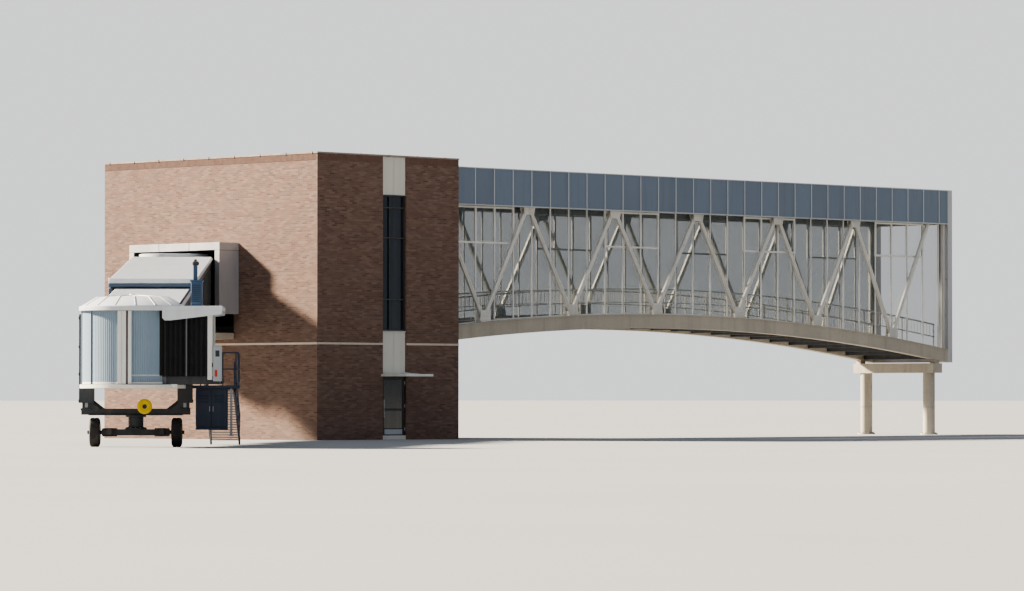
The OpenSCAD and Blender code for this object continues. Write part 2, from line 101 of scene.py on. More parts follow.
# ------------------------------------------------------------------ mesh code
class Mesh:
    def __init__(self, fr):
        self.fr, self.v, self.f, self.m = fr, [], [], []

    def add(self, pts, faces, m=0):
        o = len(self.v)
        self.v += [self.fr(*p) for p in pts]
        for f in faces:
            self.f.append([o + i for i in f])
            self.m.append(m)

    def box(self, a, b, m=0):
        (x0, y0, z0), (x1, y1, z1) = a, b
        self.add([(x0, y0, z0), (x1, y0, z0), (x1, y1, z0), (x0, y1, z0),
                  (x0, y0, z1), (x1, y0, z1), (x1, y1, z1), (x0, y1, z1)],
                 [(0, 3, 2, 1), (4, 5, 6, 7), (0, 1, 5, 4), (1, 2, 6, 5), (2, 3, 7, 6), (3, 0, 4, 7)], m)

    def cham(self, a, b, c, m=0):
        """Box with chamfered edges of width c."""
        lo, hi = list(a), list(b)
        c = min(c, *[(hi[i] - lo[i]) * 0.45 for i in range(3)])
        pts, idx = [], {}
        for sx in (0, 1):
            for sy in (0, 1):
                for sz in (0, 1):
                    s = (sx, sy, sz)
                    for ax in range(3):
                        p = []
                        for i in range(3):
                            v = hi[i] if s[i] else lo[i]
                            if i != ax:
                                v += -c if s[i] else c
                            p.append(v)
                        idx[(s, ax)] = len(pts)
                        pts.append(tuple(p))
        faces = []
        for ax in range(3):
            o = [i for i in range(3) if i != ax]
            for e in (0, 1):
                q = []
                for u, w in ((0, 0), (1, 0), (1, 1), (0, 1)):
                    s = [0, 0, 0]
                    s[ax], s[o[0]], s[o[1]] = e, u, w
                    q.append(idx[(tuple(s), ax)])
                faces.append(q)
            for u in (0, 1):
                for w in (0, 1):
                    s0, s1 = [0, 0, 0], [0, 0, 0]
                    s0[ax], s1[ax] = 0, 1
                    s0[o[0]] = s1[o[0]] = u
                    s0[o[1]] = s1[o[1]] = w
                    faces.append([idx[(tuple(s0), o[0])], idx[(tuple(s1), o[0])], idx[(tuple(s1), o[1])], idx[(tuple(s0), o[1])]])
        for sx in (0, 1):
            for sy in (0, 1):
                for sz in (0, 1):
                    faces.append([idx[((sx, sy, sz), i)] for i in range(3)])
        self.add(pts, faces, m)

    def prism(self, poly, lo, hi, axis, m=0):
        n = len(poly)

        def P(u, w, t):
            return {"x": (t, u, w), "y": (u, t, w), "z": (u, w, t)}[axis]
        pts = [P(u, w, lo) for u, w in poly] + [P(u, w, hi) for u, w in poly]
        faces = [list(range(n)), list(range(2 * n - 1, n - 1, -1))]
        faces += [[i, (i + 1) % n, n + (i + 1) % n, n + i] for i in range(n)]
        self.add(pts, faces, m)

    def strip(self, a, b, m=0):
        """Quads between two point lists."""
        n = len(a)
        self.add(list(a) + list(b), [[i, i + 1, n + i + 1, n + i] for i in range(n - 1)], m)

    def rod(self, p, q, r, n=10, m=0, caps=True):
        p, q = Vector(p), Vector(q)
        d = (q - p).normalized()
        u = d.orthogonal().normalized()
        w = d.cross(u)
        ring = [u * (r * math.cos(2 * math.pi * i / n)) + w * (r * math.sin(2 * math.pi * i / n)) for i in range(n)]
        pts = [tuple(p + c) for c in ring] + [tuple(q + c) for c in ring]
        faces = [[i, (i + 1) % n, n + (i + 1) % n, n + i] for i in range(n)]
        if caps:
            faces += [list(range(n - 1, -1, -1)), list(range(n, 2 * n))]
        self.add(pts, faces, m)

    def pipe(self, pts, r, n=8, m=0):
        pts = [Vector(p) for p in pts]
        rings, prev = [], None
        for i, p in enumerate(pts):
            if i == 0:
                d = pts[1] - p
            elif i == len(pts) - 1:
                d = p - pts[-2]
            else:
                d = (pts[i + 1] - p).normalized() + (p - pts[i - 1]).normalized()
            d.normalize()
            if prev is None:
                u = d.orthogonal().normalized()
            else:
                u = (prev - d * prev.dot(d)).normalized()
            prev = u
            w = d.cross(u)
            k = 1.0
            if 0 < i < len(pts) - 1:
                k = 1 / max(0.5, d.dot((pts[i + 1] - p).normalized()))
            rings.append([tuple(p + (u * math.cos(2 * math.pi * j / n) + w * math.sin(2 * math.pi * j / n)) * r * min(k, 1.3)) for j in range(n)])
        flat = [q for ring in rings for q in ring]
        faces = []
        for i in range(len(rings) - 1):
            for j in range(n):
                faces.append([i * n + j, i * n + (j + 1) % n, (i + 1) * n + (j + 1) % n, (i + 1) * n + j])
        faces += [list(range(n - 1, -1, -1)), list(range(len(flat) - n, len(flat)))]
        self.add(flat, faces, m)

    def lathe(self, prof, c, axis, n=48, m=0, closed=True):
        """Closed outline of (radius, height) turned about an axis through c."""
        k = len(prof)
        pts = []
        for i in range(n):
            a = 2 * math.pi * i / n
            for r, h in prof:
                u, w = r * math.cos(a), r * math.sin(a)
                p = {"x": (h, u, w), "y": (u, h, w), "z": (u, w, h)}[axis]
                pts.append((c[0] + p[0], c[1] + p[1], c[2] + p[2]))
        faces = []
        e = k if closed else k - 1
        for i in range(n):
            for j in range(e):
                a, b = i * k + j, i * k + (j + 1) % k
                g, h = ((i + 1) % n) * k + j, ((i + 1) % n) * k + (j + 1) % k
                faces.append([a, b, h, g])
        self.add(pts, faces, m)

    def make(self, name, body, mats, slot, bevel=0.0, smooth=None, replaces=(), seg=1, ride=True):
        me = bpy.data.meshes.new(name)
        me.from_pydata(self.v, [], self.f)
        for mt in (mats if isinstance(mats, (list, tuple)) else [mats]):
            me.materials.append(mt)
        me.polygons.foreach_set("material_index", self.m)
        bm = bmesh.new()
        bm.from_mesh(me)
        bmesh.ops.recalc_face_normals(bm, faces=bm.faces)
        if smooth is not None:
            for f in bm.faces:
                f.smooth = True
            lim = math.radians(smooth)
            for e in bm.edges:
                e.smooth = len(e.link_faces) == 2 and e.calc_face_angle(0) < lim
        bm.to_mesh(me)
        bm.free()
        me.update()
        ob = bpy.data.objects.new(name, me)
        bpy.context.scene.collection.objects.link(ob)
        if bevel:
            b = ob.modifiers.new("edge", "BEVEL")
            b.width, b.segments, b.limit_method, b.angle_limit = bevel * K, seg, "ANGLE", math.radians(40)
            b.harden_normals = False
        if ride:
            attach(ob, body)
        if replaces:
            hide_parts(*replaces)
        return ob


# ------------------------------------------------------------------ materials
class Mat:
    def __init__(self, name):
        self.m = bpy.data.materials.new(name)
        self.m.use_nodes = True
        self.t = self.m.node_tree
        self.t.nodes.clear()
        self.out = self.node("ShaderNodeOutputMaterial")
        self.b = self.node("ShaderNodeBsdfPrincipled")
        self.link(self.b.outputs[0], self.out.inputs[0])
        self.co = self.node("ShaderNodeTexCoord").outputs["Object"]

    def node(self, kind, **kw):
        n = self.t.nodes.new(kind)
        for k, v in kw.items():
            setattr(n, k, v)
        return n

    def link(self, a, b):
        self.t.links.new(a, b)

    def put(self, n, name, v):
        i = n.inputs[name]
        if hasattr(v, "is_linked"):
            self.link(v, i)
        else:
            i.default_value = v

    def noise(self, scale, detail=3.0, rough=0.55, co=None, dist=0.0):
        n = self.node("ShaderNodeTexNoise")
        self.put(n, "Vector", co or self.co)
        n.inputs["Scale"].default_value = scale
        n.inputs["Detail"].default_value = detail
        n.inputs["Roughness"].default_value = rough
        n.inputs["Distortion"].default_value = dist
        return n.outputs["Fac"]

    def scaled(self, sx, sy, sz, co=None):
        n = self.node("ShaderNodeMapping")
        self.put(n, "Vector", co or self.co)
        n.inputs["Scale"].default_value = (sx, sy, sz)
        return n.outputs[0]

    def ramp(self, fac, stops, interp="LINEAR"):
        n = self.node("ShaderNodeValToRGB")
        n.color_ramp.interpolation = interp
        e = n.color_ramp.elements
        while len(e) < len(stops):
            e.new(0.5)
        for i, (p, c) in enumerate(stops):
            e[i].position = p
            e[i].color = (c, c, c, 1) if isinstance(c, (int, float)) else (*c, 1)
        self.link(fac, n.inputs[0])
        return n.outputs[0]

    def mix(self, fac, a, b, blend="MIX"):
        n = self.node("ShaderNodeMix", data_type="RGBA", blend_type=blend)
        for i, v in ((0, fac), (6, a), (7, b)):
            if hasattr(v, "is_linked"):
                self.link(v, n.inputs[i])
            elif i == 0:
                n.inputs[i].default_value = v
            else:
                n.inputs[i].default_value = (*v, 1)
        return n.outputs[2]

    def math(self, op, a, b=None, clamp=False):
        n = self.node("ShaderNodeMath", operation=op, use_clamp=clamp)
        for i, v in enumerate((a, b)):
            if v is None:
                continue
            if hasattr(v, "is_linked"):
                self.link(v, n.inputs[i])
            else:
                n.inputs[i].default_value = v
        return n.outputs[0]

    def range(self, v, a, b, c, d):
        n = self.node("ShaderNodeMapRange")
        self.link(v, n.inputs[0])
        for i, x in enumerate((a, b, c, d)):
            n.inputs[i + 1].default_value = x
        return n.outputs[0]

    def bump(self, height, strength, dist, normal=None):
        n = self.node("ShaderNodeBump")
        n.inputs["Strength"].default_value = strength
        n.inputs["Distance"].default_value = dist
        self.link(height, n.inputs["Height"])
        if normal is not None:
            self.link(normal, n.inputs["Normal"])
        return n.outputs[0]


def srgb(r, g, b):
    def f(c):
        c /= 255
        return c / 12.92 if c <= 0.04045 else ((c + 0.055) / 1.055) ** 2.4
    return (f(r), f(g), f(b))


def shade(c, k):
    return tuple(min(1.0, x * k) for x in c)


def paint(name, col, rough=0.45, metal=0.0, var=0.07, big=0.7, fine=45.0, bump=0.12, grime=0.3,
          dirt=(0.10, 0.085, 0.07), streak=1.0, coat=0.0, spec=0.5, dist=0.0015):
    """Coated or bare surface with tone variation, rain streaks, speckle and a fine texture."""
    m = Mat(name)
    n1 = m.noise(big, 5)
    n2 = m.noise(fine, 3)
    n3 = m.noise(1.0, 5, 0.6, co=m.scaled(7 * streak, 7 * streak, 0.55))
    n4 = m.noise(3.5, 6, 0.65)
    c = m.mix(m.ramp(n1, [(0.32, 0.0), (0.68, 1.0)]), shade(col, 1 - var), shade(col, 1 + var))
    c = m.mix(m.ramp(n2, [(0.35, 0.0), (0.75, 0.25)]), c, shade(col, 1 - 2 * var))
    g = m.math("MULTIPLY", m.ramp(n3, [(0.48, 0.0), (0.78, 1.0)]), m.ramp(n4, [(0.35, 0.25), (0.7, 1.0)]))
    c = m.mix(m.math("MULTIPLY", g, grime), c, dirt)
    m.link(c, m.b.inputs["Base Color"])
    m.link(m.range(n4, 0.3, 0.7, max(0.03, rough - 0.07), min(1, rough + 0.1)), m.b.inputs["Roughness"])
    m.b.inputs["Metallic"].default_value = metal
    m.b.inputs["Specular IOR Level"].default_value = spec
    if coat:
        m.b.inputs["Coat Weight"].default_value = coat
        m.b.inputs["Coat Roughness"].default_value = 0.12
    h = m.mix(0.5, n2, m.noise(fine * 4, 2))
    m.link(m.bump(h, bump, dist), m.b.inputs["Normal"])
    return m.m


def brick():
    """Stretcher bond, mapped by which way the wall faces."""
    m = Mat("brickwork")
    geo = m.node("ShaderNodeNewGeometry")
    sn = m.node("ShaderNodeSeparateXYZ")
    m.link(geo.outputs["True Normal"], sn.inputs[0])
    sp = m.node("ShaderNodeSeparateXYZ")
    m.link(m.co, sp.inputs[0])
    facing = m.math("GREATER_THAN", m.math("ABSOLUTE", sn.outputs[0]), 0.5)
    u = m.math("ADD", m.math("MULTIPLY", facing, sp.outputs[1]),
               m.math("MULTIPLY", m.math("SUBTRACT", 1.0, facing), sp.outputs[0]))
    top = m.math("GREATER_THAN", m.math("ABSOLUTE", sn.outputs[2]), 0.5)
    w = m.math("ADD", m.math("MULTIPLY", top, sp.outputs[1]), m.math("MULTIPLY", m.math("SUBTRACT", 1.0, top), sp.outputs[2]))
    uv = m.node("ShaderNodeCombineXYZ")
    m.link(u, uv.inputs[0])
    m.link(w, uv.inputs[1])
    uv = uv.outputs[0]
    wob = m.node("ShaderNodeVectorMath", operation="MULTIPLY_ADD")
    nz = m.node("ShaderNodeTexNoise")
    m.link(uv, nz.inputs["Vector"])
    nz.inputs["Scale"].default_value = 30
    m.link(nz.outputs["Color"], wob.inputs[0])
    wob.inputs[1].default_value = (0.0022, 0.0022, 0)
    m.link(uv, wob.inputs[2])
    bt = m.node("ShaderNodeTexBrick")
    m.link(wob.outputs[0], bt.inputs["Vector"])
    bt.inputs["Color1"].default_value = (0, 0, 0, 1)
    bt.inputs["Color2"].default_value = (1, 1, 1, 1)
    bt.inputs["Mortar"].default_value = (0.5, 0.5, 0.5, 1)
    bt.inputs["Scale"].default_value = 1.0
    bt.inputs["Mortar Size"].default_value = 0.0030
    bt.inputs["Mortar Smooth"].default_value = 0.25
    bt.inputs["Bias"].default_value = 0.0
    bt.inputs["Brick Width"].default_value = 0.130
    bt.inputs["Row Height"].default_value = 0.0365
    per = bt.outputs["Color"]
    mort = bt.outputs["Fac"]
    clay = m.ramp(per, [(0.0, (0.082, 0.046, 0.038)), (0.12, (0.118, 0.070, 0.056)), (0.45, (0.145, 0.090, 0.071)),
                        (0.70, (0.170, 0.108, 0.085)), (0.92, (0.208, 0.140, 0.110)), (1.0, (0.105, 0.062, 0.050))])
    n_in = m.noise(85, 4, 0.6)
    clay = m.mix(m.ramp(n_in, [(0.3, 0.0), (0.75, 0.35)]), clay, (0.200, 0.130, 0.108))
    patch = m.noise(0.55, 6, 0.62)
    clay = m.mix(m.ramp(patch, [(0.35, 0.0), (0.7, 0.30)]), clay, (0.185, 0.120, 0.094))
    n_m = m.noise(40, 3)
    mortar = m.mix(n_m, (0.145, 0.110, 0.090), (0.190, 0.150, 0.125))
    c = m.mix(mort, clay, mortar)
    st = m.noise(1.0, 6, 0.62, co=m.scaled(5, 5, 0.35))
    c = m.mix(m.ramp(st, [(0.52, 0.0), (0.82, 0.28)]), c, (0.105, 0.072, 0.060))
    # brick darker in patches towards the bottom of the wall
    foot_darkening = m.range(sp.outputs[2], 0.0, 0.35, 0.35, 0.0)
    c = m.mix(m.math("MULTIPLY", foot_darkening, m.noise(2.0, 4)), c, (0.082, 0.062, 0.054))
    m.link(c, m.b.inputs["Base Color"])
    m.link(m.range(n_in, 0.3, 0.7, 0.80, 0.95), m.b.inputs["Roughness"])
    m.b.inputs["Specular IOR Level"].default_value = 0.25
    h = m.math("SUBTRACT", m.math("MULTIPLY", n_in, 0.35), mort)
    h = m.math("ADD", h, m.math("MULTIPLY", per, 0.25))
    m.link(m.bump(h, 0.75, 0.004), m.b.inputs["Normal"])
    return m.m


def concrete(name, col, rough=0.75, joint=0.0):
    m = Mat(name)
    n1, n2 = m.noise(0.9, 6, 0.62), m.noise(28, 5, 0.6)
    st = m.noise(1.0, 5, 0.6, co=m.scaled(6, 6, 0.5))
    c = m.mix(m.ramp(n1, [(0.3, 0.0), (0.7, 1.0)]), shade(col, 0.86), shade(col, 1.10))
    c = m.mix(m.ramp(n2, [(0.4, 0.0), (0.8, 0.35)]), c, shade(col, 0.62))
    c = m.mix(m.ramp(st, [(0.5, 0.0), (0.8, 0.45)]), c, shade(col, 0.45))
    m.link(c, m.b.inputs["Base Color"])
    m.link(m.range(n2, 0.3, 0.7, rough - 0.1, rough + 0.12), m.b.inputs["Roughness"])
    vor = m.node("ShaderNodeTexVoronoi")
    m.link(m.co, vor.inputs["Vector"])
    vor.inputs["Scale"].default_value = 60
    h = m.math("ADD", n2, m.math("MULTIPLY", m.ramp(vor.outputs["Distance"], [(0.0, 0.0), (0.25, 1.0)]), 0.5))
    m.link(m.bump(h, 0.25, 0.003), m.b.inputs["Normal"])
    return m.m


def glass(name, col, alpha, rough=0.06):
    m = Mat(name)
    n = m.noise(1.3, 4)
    d = m.noise(1.0, 5, 0.6, co=m.scaled(5, 5, 0.4))
    c = m.mix(n, shade(col, 0.8), shade(col, 1.25))
    c = m.mix(m.ramp(d, [(0.5, 0.0), (0.85, 0.07)]), c, (0.30, 0.29, 0.27))
    m.link(c, m.b.inputs["Base Color"])
    m.link(m.range(d, 0.35, 0.75, rough, rough + 0.05), m.b.inputs["Roughness"])
    m.b.inputs["Specular IOR Level"].default_value = 0.6
    m.b.inputs["Alpha"].default_value = alpha
    if alpha == 1.0:
        m.link(m.bump(m.noise(2.2, 2), 0.04, 0.004), m.b.inputs["Normal"])
    return m.m


def cloth(name, col, rough=0.7):
    """Coated bellows cloth: fine plain weave with a dull coat, dust in the folds."""
    m = Mat(name)
    w1 = m.node("ShaderNodeTexWave", wave_type="BANDS", bands_direction="X")
    w2 = m.node("ShaderNodeTexWave", wave_type="BANDS", bands_direction="Z")
    for w in (w1, w2):
        m.link(m.co, w.inputs["Vector"])
        w.inputs["Scale"].default_value = 120
        w.inputs["Distortion"].default_value = 0.6
    weave = m.math("MULTIPLY", w1.outputs["Fac"], w2.outputs["Fac"])
    n, f = m.noise(2.5, 5, 0.6), m.noise(70, 3)
    c = m.mix(n, shade(col, 0.7), shade(col, 1.5))
    c = m.mix(m.ramp(m.noise(6, 6, 0.65), [(0.5, 0.0), (0.85, 0.22)]), c, (0.075, 0.070, 0.065))
    m.link(c, m.b.inputs["Base Color"])
    m.link(m.range(f, 0.3, 0.7, rough - 0.1, rough + 0.12), m.b.inputs["Roughness"])
    m.b.inputs["Sheen Weight"].default_value = 0.08
    m.b.inputs["Sheen Roughness"].default_value = 0.4
    m.link(m.bump(m.math("ADD", weave, f), 0.3, 0.0012), m.b.inputs["Normal"])
    return m.m


def tyre_rubber():
    m = Mat("tyre_rubber")
    n, f = m.noise(5, 5, 0.6), m.noise(90, 3)
    c = m.mix(n, (0.016, 0.016, 0.017), (0.042, 0.040, 0.038))
    c = m.mix(m.ramp(m.noise(9, 6, 0.65), [(0.5, 0.0), (0.8, 0.5)]), c, (0.13, 0.115, 0.10))
    m.link(c, m.b.inputs["Base Color"])
    m.link(m.range(n, 0.3, 0.7, 0.72, 0.92), m.b.inputs["Roughness"])
    m.link(m.bump(f, 0.3, 0.0015), m.b.inputs["Normal"])
    return m.m


def panelled(name, col, pitch, axis, rough=0.35, metal=0.0, var=0.10, coat=0.3, origin=0.0):
    """Sheet cladding whose tone changes a little from panel to panel along one axis."""
    m = Mat(name)
    sp = m.node("ShaderNodeSeparateXYZ")
    m.link(m.co, sp.inputs[0])
    cell = m.math("FLOOR", m.math("DIVIDE", m.math("SUBTRACT", sp.outputs[axis], origin), pitch))
    wn = m.node("ShaderNodeTexWhiteNoise", noise_dimensions="1D")
    m.link(cell, wn.inputs["W"])
    n1, n2 = m.noise(0.8, 5), m.noise(60, 3)
    st = m.noise(1.0, 5, 0.6, co=m.scaled(7, 7, 0.6))
    c = m.mix(wn.outputs["Value"], shade(col, 1 - var), shade(col, 1 + var))
    c = m.mix(m.ramp(n1, [(0.35, 0.0), (0.7, 0.5)]), c, shade(col, 1 + var * 1.6))
    c = m.mix(m.ramp(st, [(0.5, 0.0), (0.8, 0.30)]), c, shade(col, 0.45))
    m.link(c, m.b.inputs["Base Color"])
    m.link(m.range(n1, 0.3, 0.7, rough - 0.06, rough + 0.12), m.b.inputs["Roughness"])
    m.b.inputs["Metallic"].default_value = metal
    m.b.inputs["Coat Weight"].default_value = coat
    m.b.inputs["Coat Roughness"].default_value = 0.1
    h = m.math("ADD", m.noise(1.6, 3), m.math("MULTIPLY", n2, 0.06))
    m.link(m.bump(h, 0.22, 0.006), m.b.inputs["Normal"])
    return m.m


M_BRICK = brick()
M_CONC = concrete("cast_concrete", srgb(176, 168, 154))
M_SLAB = concrete("floor_screed", srgb(134, 130, 124), 0.8)
M_ROOFING = paint("roof_membrane", srgb(128, 129, 130), 0.85, big=0.5, fine=26, bump=0.35, grime=0.5, spec=0.25, dist=0.003)
M_COPING = paint("coping_metal", srgb(142, 130, 122), 0.45, metal=0.6, var=0.08, grime=0.35)
M_PANEL = paint("light_panel", srgb(196, 194, 186), 0.42, var=0.04, grime=0.22, coat=0.2)
M_STRING = paint("string_course", srgb(196, 184, 172), 0.7, var=0.08, grime=0.3)
M_DGLASS = glass("dark_glass", srgb(30, 36, 42), 1.0, 0.05)
M_CGLASS = glass("clear_glass", srgb(84, 94, 97), 0.34, 0.05)
M_FRAME = paint("dark_frame", srgb(46, 48, 50), 0.4, var=0.08, grime=0.2)
M_ALU = paint("light_aluminium", srgb(172, 176, 180), 0.35, metal=0.75, var=0.05, grime=0.25)
M_PORTAL = paint("portal_metal", srgb(172, 172, 176), 0.40, metal=0.25, var=0.05, grime=0.25, coat=0.2)
# near-black lining for the portal's inner faces: painted shade
M_PORTAL_SHADE = paint("portal_painted_shade", srgb(40, 42, 45), 0.6, var=0.1)
M_FASCIA = panelled("fascia_metal", srgb(98, 112, 128), 1.05 * K, 1, 0.34, 0.2, 0.09, 0.3, K * HD)
M_TRUSS = paint("truss_steel", srgb(204, 202, 195), 0.45, var=0.08, grime=0.4)
M_WHITE = paint("white_metal", srgb(212, 212, 208), 0.42, var=0.04, grime=0.25)
M_ROOFW = paint("roof_white", srgb(198, 203, 208), 0.38, var=0.035, grime=0.30, dirt=(0.22, 0.21, 0.19), coat=0.15)
M_SIDE = paint("dark_side", srgb(34, 40, 46), 0.35, var=0.12, grime=0.2, coat=0.3)
M_BAND = paint("band_blue", srgb(34, 66, 96), 0.38, var=0.1, grime=0.25, coat=0.3)
M_SLAT = paint("slat_enamel", srgb(124, 142, 158), 0.66, var=0.05, big=1.4, grime=0.22)
M_DARK = paint("chassis_paint", srgb(42, 46, 52), 0.5, var=0.15, grime=0.5, dirt=(0.16, 0.13, 0.10))
M_NAVY = paint("navy_paint", srgb(36, 52, 76), 0.45, var=0.12, grime=0.35, dirt=(0.14, 0.12, 0.10))
M_GREY = paint("grey_paint", srgb(150, 156, 162), 0.42, var=0.06, grime=0.35)
M_GALV = paint("galvanised_steel", srgb(150, 154, 156), 0.42, metal=0.8, var=0.10, big=6, grime=0.3)
M_FLOOR = paint("ribbed_floor", srgb(96, 98, 102), 0.6, var=0.1, grime=0.4)
M_CLOTH = cloth("bellows_cloth", srgb(24, 25, 28))
M_TYRE = tyre_rubber()
M_RUBBER = paint("black_rubber", srgb(26, 26, 27), 0.75, var=0.15, grime=0.4, bump=0.3)
M_YELLOW = paint("signal_yellow", srgb(228, 196, 26), 0.42, var=0.06, grime=0.35)
M_RED = paint("signal_red", srgb(168, 40, 32), 0.4, var=0.08, grime=0.25)
M_INNER = paint("inner_lining", srgb(170, 168, 162), 0.6, var=0.05, grime=0.1)

CAD_MATS = {
    "ground_slab": M_SLAB, "upper_floor": M_SLAB, "roof_slab": M_ROOFING, "front_wall_sides": M_BRICK,
    "front_wall_middle": M_BRICK, "back_wall_sides": M_BRICK, "back_wall_middle": M_BRICK, "right_wall": M_BRICK,
    "left_wall": M_BRICK, "coping": M_COPING, "strip_panels": M_PANEL, "strip_glass": M_DGLASS,
    "door_canopy": M_WHITE, "tower_door": M_FRAME, "portal_frame": M_PORTAL, "portal_sill": M_CONC,
    "gallery_beams": M_CONC, "gallery_deck": M_SLAB, "gallery_roof": M_ROOFING, "gallery_fascia": M_FASCIA,
    "truss_right": M_TRUSS, "truss_left": M_TRUSS, "gallery_glass": M_CGLASS, "gallery_rails": M_WHITE,
    "gallery_end_frame": M_PORTAL, "gallery_columns": M_CONC, "rotunda_floor": M_FLOOR, "rotunda_roof": M_ROOFW,
    "rotunda_curtains": M_SLAT, "tunnel_a_floor": M_DARK, "tunnel_a_roof": M_ROOFW, "tunnel_a_sides": M_SIDE,
    "tunnel_a_end_band": M_BAND, "tunnel_b_floor": M_DARK, "tunnel_b_roof": M_ROOFW, "tunnel_b_sides": M_SIDE,
    "end_floor": M_DARK, "end_walls": M_GREY, "lift_columns": M_DARK, "landing": M_NAVY,
    "service_door": M_GREY, "stair_head": M_NAVY, "stair": M_NAVY, "curtain_1": M_SLAT, "curtain_2": M_SLAT,
    "curtain_3": M_SLAT, "curtain_4": M_SLAT, "cab_floor": M_FLOOR, "cab_roof": M_ROOFW, "cab_posts": M_WHITE,
    "cab_canopy": M_CLOTH, "roof_unit": M_BAND, "carriage_frame": M_DARK, "bogie_frame": M_DARK,
    "wheel_left": M_TYRE, "wheel_right": M_TYRE,
}
for n, o in NODES.items():
    o.data.materials.clear()
    o.data.materials.append(CAD_MATS[n])

# ------------------------------------------------------------------ tower
m = Mesh(W)
z0, z1, p = 3.65, 3.73, 0.012
for a, b in (((-HW - p, -HD - p), (HW + p, -HD)), ((-HW - p, HD), (HW + p, HD + p))):
    m.cham((a[0], a[1], z0), (b[0], b[1], z1), 0.006)
for s in (-1, 1):
    x = (HW, HW + p) if s > 0 else (-HW - p, -HW)
    m.cham((x[0], -HD - p, z0), (x[1], -0.32, z1), 0.006)
    m.cham((x[0], 0.92, z0), (x[1], HD + p, z1), 0.006)
m.make("string_course", "tower", M_STRING, "light_panel")

# soldier course, a brick on end, under the coping and over the portal
m = Mesh(W)
for i in range(int(2 * HW / 0.07)):
    x = -HW + 0.035 + i * 0.07
    m.cham((x - 0.03, -HD - 0.008, 10.68), (x + 0.03, -HD + 0.02, 10.93), 0.006)
    m.cham((x - 0.03, HD - 0.02, 10.68), (x + 0.03, HD + 0.008, 10.93), 0.006)
for i in range(int(2 * HD / 0.07)):
    y = -HD + 0.035 + i * 0.07
    if -0.34 < y < 0.94:
        continue
    m.cham((HW - 0.02, y - 0.03, 10.68), (HW + 0.008, y + 0.03, 10.93), 0.006)
    m.cham((-HW - 0.008, y - 0.03, 10.68), (-HW + 0.02, y + 0.03, 10.93), 0.006)
SOLDIER = paint("soldier_brick", (0.145, 0.088, 0.070), 0.88, var=0.14, big=9, fine=60, bump=0.3, grime=0.3, spec=0.25)
m.make("soldier_course", "tower", SOLDIER, "brick")

# coping joints: lapped covers every 1.5 m
m = Mesh(W)
for s in (-1, 1):
    for i in range(9):
        x = -HW + 0.3 + i * 1.5
        y = s * (HD - 0.19)
        m.cham((x - 0.04, y - 0.226, 10.93), (x + 0.04, y + 0.226, 11.008), 0.004)
    for i in range(5):
        y = -HD + 0.75 + i * 1.5
        x = s * (HW - 0.19)
        m.cham((x - 0.226, y - 0.04, 10.93), (x + 0.226, y + 0.04, 11.008), 0.004)
m.make("coping_laps", "tower", M_COPING, "coping_metal")

# roof: membrane upstand and seams
m = Mesh(W)
r0x, r0y = HW - 0.4, HD - 0.4
for a, b in (((-r0x, -r0y), (r0x, -r0y + 0.03)), ((-r0x, r0y - 0.03), (r0x, r0y)), ((-r0x, -r0y), (-r0x + 0.03, r0y)), ((r0x - 0.03, -r0y), (r0x, r0y))):
    m.cham((a[0], a[1], 10.55), (b[0], b[1], 10.78), 0.008)
for i in range(11):
    x = -r0x + 0.9 + i * 1.0
    m.cham((x - 0.05, -r0y + 0.03, 10.55), (x + 0.05, r0y - 0.03, 10.556), 0.002)
m.make("roof_upstand", "tower", M_ROOFING, "roofing")

# window strips: frames, mullion, transoms, panel joints
m = Mesh(W)
for s in (-1, 1):
    def xb(a, b):
        return (a, b) if s > 0 else (-b, -a)
    x0, x1 = xb(HW - 0.24, HW - 0.09)
    for y in (-0.32, 0.92 - 0.055):
        m.cham((x0, y, 4.20), (x1, y + 0.055, 9.45), 0.006)
    m.cham((x0 + 0.004, 0.10, 4.20), (x1 - 0.004, 0.15, 9.45), 0.006)
    for z in (4.20, 5.39, 7.77, 8.94, 9.395):
        m.cham((x0, -0.27, z), (x1, 0.87, z + 0.055), 0.006)
    x0, x1 = xb(HW - 0.06, HW - 0.052)
m.make("strip_frames", "tower", M_FRAME, "dark_glass")

m = Mesh(W)
for s, segs in ((1, ((2.52, 4.2), (9.45, 10.94))), (-1, ((0.16, 2.4), (2.42, 4.2), (9.45, 10.94)))):
    for lo, hi in segs:
        x0, x1 = (HW - 0.075, HW - 0.045) if s > 0 else (-HW + 0.045, -HW + 0.075)
        k = 2
        for i in range(k):
            y0 = -0.32 + 1.24 * i / k + 0.008
            y1 = -0.32 + 1.24 * (i + 1) / k - 0.008
            m.cham((x0, y0, lo + 0.012), (x1, y1, hi - 0.012), 0.008)
m.make("strip_cassettes", "tower", M_PANEL, "light_panel")
m = Mesh(W)
for s in (1, -1):
    x0, x1 = (HW - 0.30, HW - 0.015) if s > 0 else (-HW + 0.015, -HW + 0.30)
    m.cham((x0, -0.32, 4.155), (x1, 0.92, 4.20), 0.006)
    m.cham((x0, -0.32, 9.45), (x1, 0.92, 9.475), 0.006)
m.make("strip_sills", "tower", M_ALU, "light_panel")

